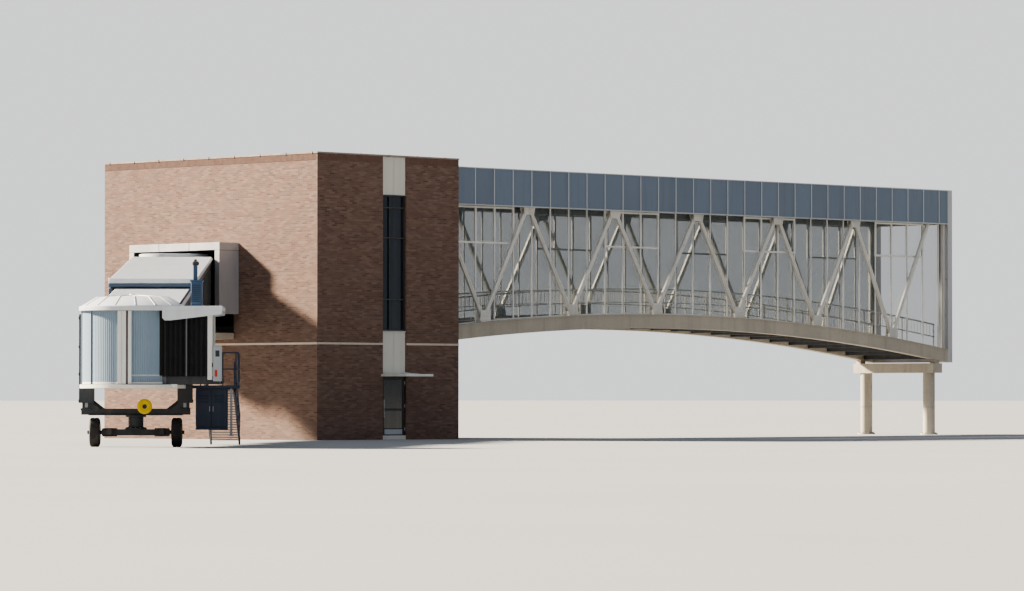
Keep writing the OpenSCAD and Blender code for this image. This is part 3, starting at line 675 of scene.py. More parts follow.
# door leaf: glazed, with stiles, rails, push plate and pull bar
m = Mesh(W)
dx0, dx1 = HW - 0.14, HW - 0.07
y0, y1, z0, z1 = -0.30, 0.90, 0.175, 2.425
m.cham((dx0, y0, z0), (dx1, y0 + 0.11, z1), 0.008)
m.cham((dx0, y1 - 0.11, z0), (dx1, y1, z1), 0.008)
m.cham((dx0, y0 + 0.11, z0), (dx1, y1 - 0.11, z0 + 0.26), 0.008)
m.cham((dx0, y0 + 0.11, z1 - 0.12), (dx1, y1 - 0.11, z1), 0.008)
m.cham((dx0, y0 + 0.11, 1.12), (dx1, y1 - 0.11, 1.20), 0.008)
m.box((dx0 + 0.025, y0 + 0.10, z0 + 0.2), (dx1 - 0.025, y1 - 0.10, z1 - 0.1), 1)
m.cham((dx1 - 0.005, y0 + 0.13, z0 + 0.02), (dx1 + 0.004, y1 - 0.13, z0 + 0.22), 0.003, 2)
m.rod((dx1 + 0.05, y0 + 0.06, 0.85), (dx1 + 0.05, y0 + 0.06, 1.55), 0.014, 12, 2)
for z in (0.92, 1.48):
    m.rod((dx1 - 0.01, y0 + 0.06, z), (dx1 + 0.05, y0 + 0.06, z), 0.010, 8, 2)
for z in (0.35, 1.24, 2.13):
    m.lathe([(0.0, z), (0.018, z), (0.018, z + 0.12), (0.0, z + 0.12)], (HW - 0.065, 0.90, 0), "z", 16, 2)
m.make("door_leaf", "entrance_door", [M_FRAME, M_DGLASS, M_ALU], "door_paint", replaces=["tower_door"], smooth=30)

# door surround and canopy lip
m = Mesh(W)
m.cham((HW - 0.22, -0.32, 0.16), (HW - 0.145, -0.295, 2.44), 0.005)
m.cham((HW - 0.22, 0.905, 0.16), (HW - 0.145, 0.92, 2.44), 0.005)
m.cham((HW - 0.22, -0.32, 2.43), (HW - 0.06, 0.92, 2.44), 0.003)
m.make("door_surround", "tower", M_FRAME, "door_paint")
m = Mesh(W)
cx1 = HW + 1.44
m.cham((cx1 - 0.01, -0.43, 2.436), (cx1 + 0.012, 0.99, 2.53), 0.004)
m.cham((HW + 0.002, -0.43, 2.436), (cx1, -0.41, 2.53), 0.004)
m.cham((HW + 0.002, 0.97, 2.436), (cx1, 0.99, 2.53), 0.004)
for y in (-0.28, 0.84):
    m.prism([(HW, 2.52), (HW + 1.1, 2.52), (HW, 2.60)], y - 0.02, y + 0.02, "y")
m.make("canopy_lip", "tower", M_WHITE, "white_metal")

# portal: cladding cassettes on the grey box; the near-black lining on its inner faces and in the gaps between
# cassettes is painted shade inside the portal
m = Mesh(W)
PX0, PX1, PF, PT = -3.3, 1.5, -4.75, 7.32


def cassettes(m, lo, hi, nu, nv, axes, gap, c, mt=0):
    """Splits a thin plate into nu by nv chamfered trays."""
    u, v = axes
    for i in range(nu):
        for j in range(nv):
            a, b = list(lo), list(hi)
            a[u] = lo[u] + (hi[u] - lo[u]) * i / nu + gap / 2
            b[u] = lo[u] + (hi[u] - lo[u]) * (i + 1) / nu - gap / 2
            a[v] = lo[v] + (hi[v] - lo[v]) * j / nv + gap / 2
            b[v] = lo[v] + (hi[v] - lo[v]) * (j + 1) / nv - gap / 2
            m.cham(tuple(a), tuple(b), c, mt)


e = 0.03
for s in (0, 1):
    xa, xb_ = (PX0 - 0.3, PX0) if s == 0 else (PX1, PX1 + 0.3)
    cassettes(m, (xa, PF, 4.85), (xb_, PF + e, PT), 1, 1, (0, 2), 0.008, 0.02)
    xo = (xa, xa + e) if s == 0 else (xb_ - e, xb_)
    cassettes(m, (xo[0], PF, 4.85), (xo[1], -HD, PT), 1, 1, (1, 2), 0.008, 0.012)
    m.cham((xa + 0.03, PF + 0.03, 4.85), (xb_ - 0.03, -HD, PT), 0.01, 1)
cassettes(m, (PX0 - 0.3, PF, PT), (PX1 + 0.3, PF + e, PT + 0.3), 3, 1, (0, 2), 0.008, 0.02)
cassettes(m, (PX0 - 0.3, PF, PT + 0.27), (PX1 + 0.3, -HD, PT + 0.3), 3, 1, (0, 1), 0.008, 0.012)
for s in (0, 1):
    xo = (PX0 - 0.3, PX0 - 0.27) if s == 0 else (PX1 + 0.27, PX1 + 0.3)
    cassettes(m, (xo[0], PF, PT), (xo[1], -HD, PT + 0.3), 1, 1, (1, 2), 0.008, 0.012)
m.cham((PX0 - 0.27, PF + 0.03, PT), (PX1 + 0.27, -HD, PT + 0.27), 0.01, 1)
m.make("portal_cladding", "tower", [M_PORTAL, M_PORTAL_SHADE], "portal_metal", replaces=["portal_frame"])

# plates lining the opening in the wall, near-black: painted shade inside the portal
m = Mesh(W)
m.box((PX0, -HD, 4.13), (PX0 + 0.02, -HD + 0.4, PT))
m.box((PX1 - 0.02, -HD, 4.13), (PX1, -HD + 0.4, PT))
m.box((PX0 + 0.02, -HD, PT - 0.02), (PX1 - 0.02, -HD + 0.4, PT))
m.make("portal_reveal", "tower", M_PORTAL_SHADE, "portal_metal", bevel=0.004)

# ------------------------------------------------------------------ gallery
MUL = [0.36 + 1.05 * i for i in range(29)]
m = Mesh(G)
for y in MUL:
    zb = arch(y) + 0.53
    for xa, xb_ in ((GX1 - 0.376, GX1 - 0.332), (GX0 + 0.332, GX0 + 0.376)):
        m.cham((xa, y - 0.032, zb), (xb_, y + 0.032, 9.66), 0.008)
m.make("gallery_mullions", "tower", M_WHITE, "white_metal")

m = Mesh(G)
for xa, xb_ in ((GX1 - 0.376, GX1 - 0.338), (GX0 + 0.338, GX0 + 0.376)):
    # sill rail on the deck and a head rail, in short straight lengths
    n = 24
    for i in range(n):
        y0, y1 = GL * i / n + (0.02 if i == 0 else 0), GL * (i + 1) / n - (0.02 if i == n - 1 else 0)
        a0, a1 = arch_line(y0 + 1e-6) + 0.55, arch_line(y1 - 1e-6) + 0.55
        m.prism([(y0, a0), (y1, a1), (y1, a1 + 0.07), (y0, a0 + 0.07)], xa, xb_, "x")
    m.cham((xa, 0.02, 9.60), (xb_, GL - 0.02, 9.68), 0.008)
    # opening lights under the fascia, three mullion spaces wide, every second bay
    for k in range(4):
        y0 = MUL[0] + 8.4 * k + (0 if k else 0.0)
        y1 = y0 + 3.15 if k else y0 + 3.15
        if y1 > GL - 0.2:
            continue
        for z in (7.72, 9.12):
            m.cham((xa - 0.012, y0, z), (xb_ + 0.012, y1, z + 0.075), 0.008)
        for y in (y0, y0 + 1.05, y0 + 2.1, y1):
            m.cham((xa - 0.018, y - 0.045, 7.71), (xb_ + 0.018, y + 0.045, 9.205), 0.008)
m.make("gallery_frames", "tower", M_WHITE, "white_metal")

# fascia: aluminium seams, top and bottom trims
m = Mesh(G)
for xo, s in ((GX1, 1), (GX0, -1)):
    for y in [1.05 * i for i in range(1, 29)]:
        a, b = (xo - 0.01, xo + 0.022) if s > 0 else (xo - 0.022, xo + 0.01)
        m.cham((a, y - 0.028, 9.2), (b, y + 0.028, 10.7), 0.006)
    a, b = (xo - 0.13, xo + 0.03) if s > 0 else (xo - 0.03, xo + 0.13)
    m.cham((a, 0.0, 10.66), (b, GL, 10.73 - 0.035), 0.008)
    a, b = (xo - 0.02, xo + 0.026) if s > 0 else (xo - 0.026, xo + 0.02)
    m.cham((a, 0.0, 9.2), (b, GL, 9.25), 0.008)
m.make("fascia_seams", "tower", M_ALU, "fascia_metal")

# soffit lining behind the fascia and cross ribs under the roof
m = Mesh(G)
m.box((GX0 + 0.12, 0.0, 10.30), (GX1 - 0.12, GL, 10.35))
for i in range(29):
    y = 0.36 + 1.05 * i
    m.cham((GX0 + 0.4, y - 0.04, 10.10), (GX1 - 0.4, y + 0.04, 10.31), 0.01)
m.make("gallery_soffit", "tower", M_INNER, "white_metal")

# gallery roof: seams as plain laps
m = Mesh(G)
for i in range(28):
    y = 1.05 * (i + 1)
    m.cham((GX0 + 0.14, y - 0.03, 10.6), (GX1 - 0.14, y + 0.03, 10.612), 0.003)
m.make("gallery_roof_laps", "tower", M_ROOFING, "roofing")

# truss gussets with bolt heads
m = Mesh(G)
TB = [1.725 + 4.95 * i for i in range(6)]
TT = [4.2 + 4.95 * i for i in range(5)]
for xc, s in ((GX1 - 0.225, 1), (GX0 + 0.225, -1)):
    for y in TB:
        zb = arch(y) + 0.57
        for x0, x1 in ((xc - 0.122, xc - 0.112), (xc + 0.112, xc + 0.122)):
            m.prism([(y - 0.30, zb + 0.05), (y + 0.30, zb + 0.05), (y + 0.24, zb + 0.46), (y - 0.24, zb + 0.46)], x0, x1, "x")
        for dy in (-0.18, -0.06, 0.06, 0.18):
            for dz in (0.12, 0.24, 0.36):
                for xq, sg in ((xc + 0.122, 1), (xc - 0.122, -1)):
                    m.rod((xq, y + dy, zb + dz), (xq + sg * 0.018, y + dy, zb + dz), 0.018, 6)
    for y in TT:
        for x0, x1 in ((xc - 0.112, xc - 0.102), (xc + 0.102, xc + 0.112)):
            m.prism([(y - 0.36, 9.38), (y + 0.36, 9.38), (y + 0.26, 8.92), (y - 0.26, 8.92)], x0, x1, "x")
        for dy in (-0.2, -0.07, 0.07, 0.2):
            for dz in (9.0, 9.12):
                for xq, sg in ((xc + 0.112, 1), (xc - 0.112, -1)):
                    m.rod((xq, y + dy, dz), (xq + sg * 0.018, y + dy, dz), 0.018, 6)
m.make("truss_gussets", "tower", M_TRUSS, "truss_steel")

# beams: splice joints and a drip edge
m = Mesh(G)
for xo, s in ((GX1, 1), (GX0, -1)):
    for y in (5.0, 10.0, 15.0, 20.0, 25.0):
        z = arch_line(y)
        a, b = (xo - 0.005, xo + 0.012) if s > 0 else (xo - 0.012, xo + 0.005)
        m.cham((a, y - 0.10, z + 0.06), (b, y + 0.10, z + 0.51), 0.004)
        for dy in (-0.06, 0.06):
            for k in range(4):
                x = b if s > 0 else a
                m.rod((x, y + dy, z + 0.12 + k * 0.11), (x + s * 0.012, y + dy, z + 0.12 + k * 0.11), 0.016, 6)
    n = 24
    for i in range(n):
        y0, y1 = GL * i / n, GL * (i + 1) / n
        a0, a1 = arch_line(y0 + 1e-6) + 0.53, arch_line(y1 - 1e-6) + 0.53
        a, b = (xo - 0.02, xo + 0.03) if s > 0 else (xo - 0.03, xo + 0.02)
        m.prism([(y0, a0), (y1, a1), (y1, a1 + 0.04), (y0, a0 + 0.04)], a, b, "x")
m.make("beam_splices", "tower", M_CONC, "concrete")

# deck underside: cross members between the beams
m = Mesh(G)
for i in range(24):
    y = 0.62 + 1.25 * i
    z = arch_line(y)
    m.cham((GX0 + 0.35, y - 0.06, z + 0.06), (GX1 - 0.35, y + 0.06, z + 0.31), 0.01)
m.make("deck_ribs", "tower", M_DARK, "truss_steel")

# balustrade: infill bars
m = Mesh(G)
for x in (GX1 - 0.545, GX0 + 0.525):
    i = 0
    y = 0.42
    while y < GL - 0.4:
        z = arch_line(y) + 0.57
        m.rod((x + 0.01, y, z + 0.50), (x + 0.01, y, z + 1.02), 0.010, 6)
        y += 0.21
m.make("balusters", "tower", M_WHITE, "white_metal")

# far end: plates and bolts where the frame meets the wall, column bases
m = Mesh(G)
for x0, x1 in ((GX0 - 0.0, GX0 + 0.5), (GX1 - 0.5, GX1)):
    for z in (3.6, 5.2, 6.8, 8.4, 10.0):
        for dx in (0.1, 0.4):
            m.rod((x0 + dx, GL + 0.29, z), (x0 + dx, GL - 0.02, z), 0.03, 6)
m.make("end_frame_bolts", "tower", M_GALV, "portal_metal")
m = Mesh(G)
for x in (GX0 + 0.5, GX1 - 0.5):
    for k in range(8):
        a = math.pi / 4 * k + 0.2
        px, py = x + 0.32 * math.cos(a), GL - 0.7 + 0.32 * math.sin(a)
        m.rod((px, py, 0.05), (px, py, 0.10), 0.022, 6)
    m.lathe([(0.262, 1.2), (0.268, 1.2), (0.268, 1.22), (0.262, 1.22)], (x, GL - 0.7, 0), "z", 32)
m.make("column_details", "tower", M_GALV, "concrete")


# ------------------------------------------------------------------ roller curtains
def slats(fr, r0, r1, a0, a1, z0, z1, pitch=0.075, bottom=None):
    """Upright interlocking slats between two radii, one closed sheet."""
    m = Mesh(fr)
    n = max(3, round(math.radians(a1 - a0) * r1 / pitch))
    outer, inner = [], []
    for i in range(n):
        for t, k in ((0.0, 0.0), (0.10, 0.75), (0.32, 1.0), (0.68, 1.0), (0.90, 0.75)):
            a = math.radians(a0 + (a1 - a0) * (i + t) / n)
            r = r1 - 0.012 + 0.012 * k
            outer.append((r * math.cos(a), r * math.sin(a)))
            inner.append((r0 * math.cos(a), r0 * math.sin(a)))
    a = math.radians(a1)
    outer.append(((r1 - 0.012) * math.cos(a), (r1 - 0.012) * math.sin(a)))
    inner.append((r0 * math.cos(a), r0 * math.sin(a)))
    k = len(outer)
    pts = []
    for z in (z0, z1):
        pts += [(x, y, z) for x, y in outer] + [(x, y, z) for x, y in inner]
    f = []
    for i in range(k - 1):
        f.append([i, i + 1, 2 * k + i + 1, 2 * k + i])
        f.append([k + i + 1, k + i, 3 * k + i, 3 * k + i + 1])
        f.append([i + 1, i, k + i, k + i + 1])
        f.append([2 * k + i, 2 * k + i + 1, 3 * k + i + 1, 3 * k + i])
    f.append([0, 2 * k, 3 * k, k])
    f.append([k - 1, 2 * k - 1, 4 * k - 1, 3 * k - 1])
    m.add(pts, f, 0)
    return m


def arc_band(m, r0, r1, a0, a1, z0, z1, mt, step=3.0):
    n = max(2, math.ceil((a1 - a0) / step))
    pts = []
    for i in range(n + 1):
        a = math.radians(a0 + (a1 - a0) * i / n)
        for r, z in ((r0, z0), (r1, z0), (r1, z1), (r0, z1)):
            pts.append((r * math.cos(a), r * math.sin(a), z))
    f = []
    for i in range(n):
        for j in range(4):
            f.append([4 * i + j, 4 * i + (j + 1) % 4, 4 * i + 4 + (j + 1) % 4, 4 * i + 4 + j])
    f.append([0, 1, 2, 3])
    f.append([4 * n, 4 * n + 1, 4 * n + 2, 4 * n + 3])
    m.add(pts, f, mt)


m = slats(H, 1.305, 1.35, 50, 122, 4.36, 7.04)
arc_band(m, 1.30, 1.352, 50, 122, 4.34, 4.40, 1)
arc_band(m, 1.30, 1.352, 50, 122, 7.0, 7.06, 1)
m2 = slats(H, 1.305, 1.35, -122, -50, 4.36, 7.04)
m.add([], [])
o = len(m.v)
m.v += m2.v
m.f += [[o + i for i in f] for f in m2.f]
m.m += m2.m
arc_band(m, 1.30, 1.352, -122, -50, 4.34, 4.40, 1)
arc_band(m, 1.30, 1.352, -122, -50, 7.0, 7.06, 1)
for a in (50, 122, -122, -50):
    arc_band(m, 1.295, 1.356, a - 1.2, a + 1.2, 4.34, 7.06, 1)
m.make("rotunda_slats", "rotunda", [M_SLAT, M_WHITE], "slat", replaces=["rotunda_curtains"], smooth=25)

m = slats(C, 1.652, 1.68, -127, -86, 2.05, 4.43)
arc_band(m, 1.650, 1.682, -127, -86, 2.05, 2.12, 1)
m.make("curtain_slats_1", "end_frame", [M_SLAT, M_WHITE], "slat", replaces=["curtain_1"], smooth=25)
m = slats(C, 1.607, 1.635, -88, -53, 2.062, 4.43)
arc_band(m, 1.605, 1.637, -88, -53, 2.062, 2.13, 1)
m.make("curtain_slats_2", "shutter_2", [M_SLAT, M_WHITE], "slat", replaces=["curtain_2"], smooth=25)
m = slats(C, 1.562, 1.59, -54, 1.5, 2.062, 4.43)
arc_band(m, 1.560, 1.592, -54, 1.5, 2.062, 2.13, 1)
for a0, a1 in ((-14.3, -9.7), (-9.4, -4.8), (-2.3, 1.5)):
    arc_band(m, 1.59, 1.64, a0, a1, 2.062, 4.43, 1, 1.0)
arc_band(m, 1.59, 1.61, -9.7, -9.4, 2.062, 4.43, 1, 1.0)
# darker strip at the floor of the recess between two guide bands: painted shade in the recess
arc_band(m, 1.59, 1.60, -4.8, -2.3, 2.062, 4.43, 2, 1.0)
m.make("curtain_slats_3", "shutter_3", [M_SLAT, M_WHITE, paint("groove_painted_shade", srgb(92, 84, 88), 0.5)], "slat", replaces=["curtain_3"], smooth=25)
m = slats(C, 1.517, 1.545, -2, 37.5, 2.30, 4.44)
arc_band(m, 1.515, 1.547, -2, 37.5, 2.30, 2.36, 1)
m.make("curtain_slats_4", "cab", [M_SLAT, M_WHITE], "slat", replaces=["curtain_4"], smooth=25)
m = slats(C, 1.540, 1.556, 1.0, 41, 2.13, 2.34)
arc_band(m, 1.540, 1.557, 1.0, 41, 2.064, 2.13, 1)
m.make("curtain_apron", "cab", [M_SLAT, M_WHITE], "slat", smooth=25)


# ------------------------------------------------------------------ tunnels
def tunnel(tag, body, s0, s1, yo, yi, zf, zt, roof_y, roof_z0, roof_z1, nodes, rib=0.6, module=1.22):
    """Cladding of one tunnel: ribbed roof, glazed sides in frames and sills."""
    fr = F
    # roof sheet with standing ribs across and a rolled eave
    m = Mesh(fr)
    prof = [(-roof_y, roof_z0), (roof_y, roof_z0), (roof_y, roof_z0 + 0.05), (roof_y - 0.05, roof_z1), (-roof_y + 0.05, roof_z1), (-roof_y, roof_z0 + 0.05)]
    m.prism(prof, s0, s1, "x")
    n = int((s1 - s0) / rib)
    for i in range(n + 1):
        s = s0 + 0.04 + (s1 - s0 - 0.08) * i / n
        k = 0.018
        m.prism([(-roof_y + 0.055, roof_z1 - 0.004), (roof_y - 0.055, roof_z1 - 0.004), (roof_y - 0.075, roof_z1 + k), (-roof_y + 0.075, roof_z1 + k)], s - 0.02, s + 0.02, "x")
    m.make(tag + "_roof_sheet", body, M_ROOFW, "roof_white", bevel=0.006, replaces=[nodes[0]])
    # side walls
    m = Mesh(fr)
    for sg in (-1, 1):
        a, b = (yi, yo) if sg > 0 else (-yo, -yi)
        mid = (a + b) / 2
        # glass, set back, upper and lower cills
        m.box((s0 + 0.02, mid - 0.012, zf + 0.30), (s1 - 0.02, mid + 0.012, zt - 0.22), 1)
        m.cham((s0, a, zf), (s1, b, zf + 0.34), 0.012, 0)
        m.cham((s0, a, zt - 0.26), (s1, b, zt), 0.012, 0)
        k = max(2, round((s1 - s0) / module))
        for i in range(k + 1):
            s = s0 + 0.04 + (s1 - s0 - 0.08) * i / k
            m.cham((s - 0.04, a + 0.004, zf + 0.3), (s + 0.04, b - 0.004, zt - 0.2), 0.010, 0)
        m.cham((s0, a + 0.008, zf + 1.02), (s1, b - 0.008, zf + 1.07), 0.008, 0)
    m.make(tag + "_side_walls", body, [M_SIDE, M_DGLASS], "dark_side", replaces=[nodes[1]])


tunnel("outer_tunnel", "outer_tunnel", 0.05, 14.6, 1.53, 1.45, -0.01, 2.64, 1.58, 2.64, 2.745, ["tunnel_a_roof", "tunnel_a_sides"])
tunnel("inner_tunnel", "inner_tunnel", 11.55, 24.93, 1.37, 1.31, 0.11, 2.23, 1.40, 2.23, 2.385, ["tunnel_b_roof", "tunnel_b_sides"])

# outer tunnel: end band with a flange, floor beams and a rail under it
m = Mesh(F)
m.cham((14.6, -1.58, 2.58), (14.8, 1.58, 2.76), 0.018, 2)
m.cham((14.6, -1.585, 2.56), (14.66, 1.585, 2.77), 0.012, 2)
for a, b in (((14.6, -1.58, 2.44), (14.8, 1.58, 2.58)), ((14.6, -1.58, -0.10), (14.8, -1.44, 2.40)), ((14.6, 1.44, -0.10), (14.8, 1.58, 2.40)), ((14.6, -1.44, -0.10), (14.8, 1.44, -0.03))):
    m.cham(a, b, 0.018)
m.cham((14.72, -1.45, 2.425), (14.79, 1.45, 2.46), 0.01, 1)
m.cham((14.72, -1.46, -0.02), (14.79, -1.41, 2.42), 0.01, 1)
m.cham((14.72, 1.41, -0.02), (14.79, 1.46, 2.42), 0.01, 1)
for y in [-1.35 + 0.3 * i for i in range(10)]:
    m.rod((14.79, y, 2.51), (14.806, y, 2.51), 0.014, 6, 0)
for z in [0.2 + 0.3 * i for i in range(8)]:
    for s in (-1, 1):
        m.rod((14.79, s * 1.51, z), (14.806, s * 1.51, z), 0.014, 6, 0)
m.make("outer_tunnel_band", "outer_tunnel", [M_BAND, M_RUBBER, M_ROOFW], "band_blue", replaces=["tunnel_a_end_band"])

m = Mesh(F)
for i in range(13):
    s = 0.6 + 1.12 * i
    m.cham((s - 0.05, -1.50, -0.24), (s + 0.05, 1.50, -0.10), 0.01)
for y in (-1.48, 1.42):
    m.cham((0.3, y, -0.30), (14.5, y + 0.06, -0.10), 0.01)
m.cham((0.6, -0.25, -0.20), (14.2, 0.25, -0.14), 0.01, 1)
m.make("outer_tunnel_beams", "outer_tunnel", [M_DARK, M_GALV], "steel_dark")
m = Mesh(F)
m.cham((24.62, -1.34, -0.14), (24.88, 1.34, 0.0), 0.012)
for y in (-1.33, -0.5, 0.44, 1.27):
    m.cham((24.50, y, -0.10), (24.88, y + 0.06, 0.0), 0.008)
m.make("inner_tunnel_beams", "inner_tunnel", M_DARK, "steel_dark")


def pleats(fr, rings, mats, name, slot, thick=0.012):
    """Sheet lofted through rings of points of equal count."""
    m = Mesh(fr)
    n = len(rings[0])
    pts = [p for r in rings for p in r]
    f = []
    for i in range(len(rings) - 1):
        for j in range(n - 1):
            f.append([i * n + j, i * n + j + 1, (i + 1) * n + j + 1, (i + 1) * n + j])
    m.add(pts, f, 0)
    ob = m.make(name, None, mats, slot, smooth=60, ride=False)
    s = ob.modifiers.new("cloth", "SOLIDIFY")
    s.thickness, s.offset = thick * K, 0.0
    return ob


def hoop(hw_, z0, z1, r, k=6):
    """Inverted U in (y, z), from one foot over the top to the other."""
    pts = [(-hw_, z0 + (z1 - r - z0) * i / 6) for i in range(7)]
    pts += [(-hw_ + r - r * math.cos(math.pi / 2 * i / k), z1 - r + r * math.sin(math.pi / 2 * i / k)) for i in range(1, k + 1)]
    pts += [(-hw_ + r + (2 * hw_ - 2 * r) * i / 8, z1) for i in range(1, 8)]
    pts += [(hw_ - r + r * math.sin(math.pi / 2 * i / k), z1 - r + r * math.cos(math.pi / 2 * i / k)) for i in range(0, k + 1)]
    pts += [(hw_, z1 - r - (z1 - r - z0) * i / 6) for i in range(1, 7)]
    return pts


# bellows between the rotunda and the outer tunnel
rings = []
NP = 5
for i in range(2 * NP + 1):
    t = i / (2 * NP)
    out = 0.05 if i % 2 else 0.0
    ring = []
    hy = 1.06 + (1.42 - 1.06) * t + out
    zt = 6.98 + (6.86 - 6.98) * t + out
    zb = 4.36 + (4.24 - 4.36) * t
    for y, z in hoop(hy, zb, zt, 0.12):
        x0 = 0.90
        x1 = 1.44 + (z - 4.315) * math.tan(SLOPE)
        ring.append((x0 + (x1 - x0) * t, y, z))
    rings.append(ring)
ob = pleats(H, rings, M_CLOTH, "rear_bellows", "bellows")
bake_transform(ob)

# bellows between the inner tunnel and the level end frame
rings = []
NP = 3
for i in range(2 * NP + 1):
    t = i / (2 * NP)
    out = -0.035 if i % 2 else 0.0
    ring = []
    for y, z in hoop(1.30 + out, 2.36, 4.28 + out, 0.10):
        x0 = 26.22 + (z - 2.3) * 0.075
        ring.append((x0 + (26.50 - x0) * t, y, z))
    rings.append(ring)
ob = pleats(H, rings, M_CLOTH, "front_bellows", "bellows")
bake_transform(ob)

# threshold plate over the pitch hinge
m = Mesh(H)
m.prism([(1.22, 4.345), (1.30, 4.345), (1.52, 4.392), (1.70, 4.358), (1.70, 4.372), (1.52, 4.406), (1.30, 4.36), (1.22, 4.352)], -1.30, 1.30, "y")
ob = m.make("threshold_plate", "outer_tunnel", M_GALV, "floor_metal", ride=False)
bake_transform(ob)

# rotunda roof: rolled edge and radial laps
m = Mesh(H)
m.lathe([(1.30, 7.06), (1.348, 7.06), (1.349, 7.19), (1.335, 7.205), (1.28, 7.208), (1.28, 7.196), (1.32, 7.19)], (0, 0, 0), "z", 64)
for k in range(12):
    a = math.pi / 6 * k
    m.rod((0.1 * math.cos(a), 0.1 * math.sin(a), 7.2), (1.29 * math.cos(a), 1.29 * math.sin(a), 7.2), 0.012, 6)
m.lathe([(0.0, 7.2), (0.16, 7.2), (0.14, 7.235), (0.0, 7.24)], (0, 0, 0), "z", 24)
m.make("rotunda_roof_laps", "rotunda", M_ROOFW, "roof_white", smooth=35)

# ------------------------------------------------------------------ end frame
m = Mesh(H)
# white edge ring under the drum
m2 = []
prof = [(1.60, 1.925), (1.715, 1.925), (1.725, 1.935), (1.725, 2.040), (1.715, 2.052), (1.69, 2.052), (1.69, 2.0), (1.60, 1.99)]
m.lathe(prof, (CAB, 0, 0), "z", 96)
m.make("drum_ring", "end_frame", M_WHITE, "white_metal", smooth=35)

m = Mesh(H)
# side wall ribs, doorway frame and eaves of the end frame
for x in (26.52, 27.0, 27.44):
    m.cham((x - 0.03, -1.40, 2.34), (x + 0.03, -1.375, 4.40), 0.006)
m.cham((28.06, -1.40, 2.34), (28.12, -1.375, 4.40), 0.006)
m.cham((28.59, -1.40, 2.34), (28.65, -1.375, 4.40), 0.006)
m.cham((26.45, -1.42, 4.36), (28.65, -1.36, 4.425), 0.008)
m.cham((26.45, 1.36, 4.365), (28.40, 1.42, 4.425), 0.008)
m.cham((CAB - 1.13, -1.425, 2.06), (CAB - 1.01, -1.34, 4.425), 0.008)
m.cham((26.545, 1.375, 2.34), (26.575, 1.40, 4.37), 0.005)
m.cham((27.405, 1.395, 2.34), (27.435, 1.42, 4.37), 0.005)
m.cham((26.545, 1.385, 4.34), (27.435, 1.41, 4.37), 0.005)
m.make("end_frame_trims", "end_frame", M_GREY, "white_metal")

m = Mesh(H)
# service door leaf: pressed panels, window, lever handle
m.cham((26.58, 1.312, 2.35), (27.40, 1.368, 4.29), 0.008)
m.cham((26.66, 1.364, 2.45), (27.32, 1.374, 3.15), 0.006)
m.cham((26.66, 1.364, 3.25), (27.32, 1.371, 3.45), 0.005)
m.cham((26.74, 1.364, 3.55), (27.24, 1.376, 4.16), 0.006, 1)
m.cham((26.77, 1.370, 3.58), (27.21, 1.379, 4.13), 0.003, 2)
m.rod((26.66, 1.36, 3.32), (26.66, 1.405, 3.32), 0.012, 10, 1)
m.rod((26.655, 1.40, 3.32), (26.79, 1.40, 3.32), 0.012, 10, 1)
for z in (2.48, 3.25, 4.02):
    m.lathe([(0.0, z), (0.014, z), (0.014, z + 0.12), (0.0, z + 0.12)], (27.40, 1.375, 0), "z", 16, 1)
m.make("side_door_leaf", "side_door", [M_GREY, M_GALV, M_DGLASS], "door_paint", replaces=["service_door"], smooth=30)

# lift columns: guide covers, bolted flanges, cross tie under the tunnel floor
m = Mesh(H)
for s in (-1, 1):
    yc = s * 1.62
    for z in (1.47, 2.35, 3.25, 4.20):
        for x0, x1, y0, y1 in ((27.75 - 0.305, 27.75 + 0.305, yc + s * 0.24, yc + s * 0.255),):
            m.cham((x0, min(y0, y1), z), (x1, max(y0, y1), z + 0.10), 0.006)
        for k in range(4):
            x = 27.53 + 0.147 * k
            y = yc + s * 0.255
            m.rod((x, y, z + 0.05), (x, y + s * 0.014, z + 0.05), 0.016, 6)
    m.cham((27.75 - 0.29, yc - 0.24, 4.345), (27.75 + 0.29, yc + 0.24, 4.375), 0.01)
    m.rod((27.75, yc, 4.37), (27.75, yc, 4.42), 0.10, 16)
m.cham((27.55, -1.38, 1.95), (27.95, 1.38, 2.05), 0.015)
m.make("column_flanges", "end_frame", M_DARK, "portal_metal")

# landing with grating, guard rails, cabinet and leg
m = Mesh(H)
LX0, LX1, LY0, LY1, LZ = 26.45, 27.44, 1.385, 3.40, 2.03
for a, b in (((LX0, LY0, 1.93), (LX0 + 0.05, LY1, LZ)), ((LX1 - 0.05, LY0, 1.93), (LX1, LY1, LZ)), ((LX0, LY0, 1.93), (LX1, LY0 + 0.05, LZ)), ((LX0, LY1 - 0.05, 1.93), (LX1, LY1, LZ))):
    m.cham(a, b, 0.006)
for i in range(1, 24):
    x = LX0 + (LX1 - LX0) * i / 24
    m.box((x - 0.004, LY0 + 0.04, 1.99), (x + 0.004, LY1 - 0.04, 2.026), 1)
for i in range(1, 14):
    y = LY0 + (LY1 - LY0) * i / 14
    m.box((LX0 + 0.04, y - 0.004, 2.0), (LX1 - 0.04, y + 0.004, 2.022), 1)


def guard(m, pts, h, mt, r=0.021, mid=0.5, posts=True):
    top = [(x, y, z + h) for x, y, z in pts]
    m.pipe(top, r, 8, mt)
    m.pipe([(x, y, z + h * mid) for x, y, z in pts], r * 0.75, 8, mt)
    if posts:
        for x, y, z in pts:
            m.rod((x, y, z), (x, y, z + h), r, 8, mt)


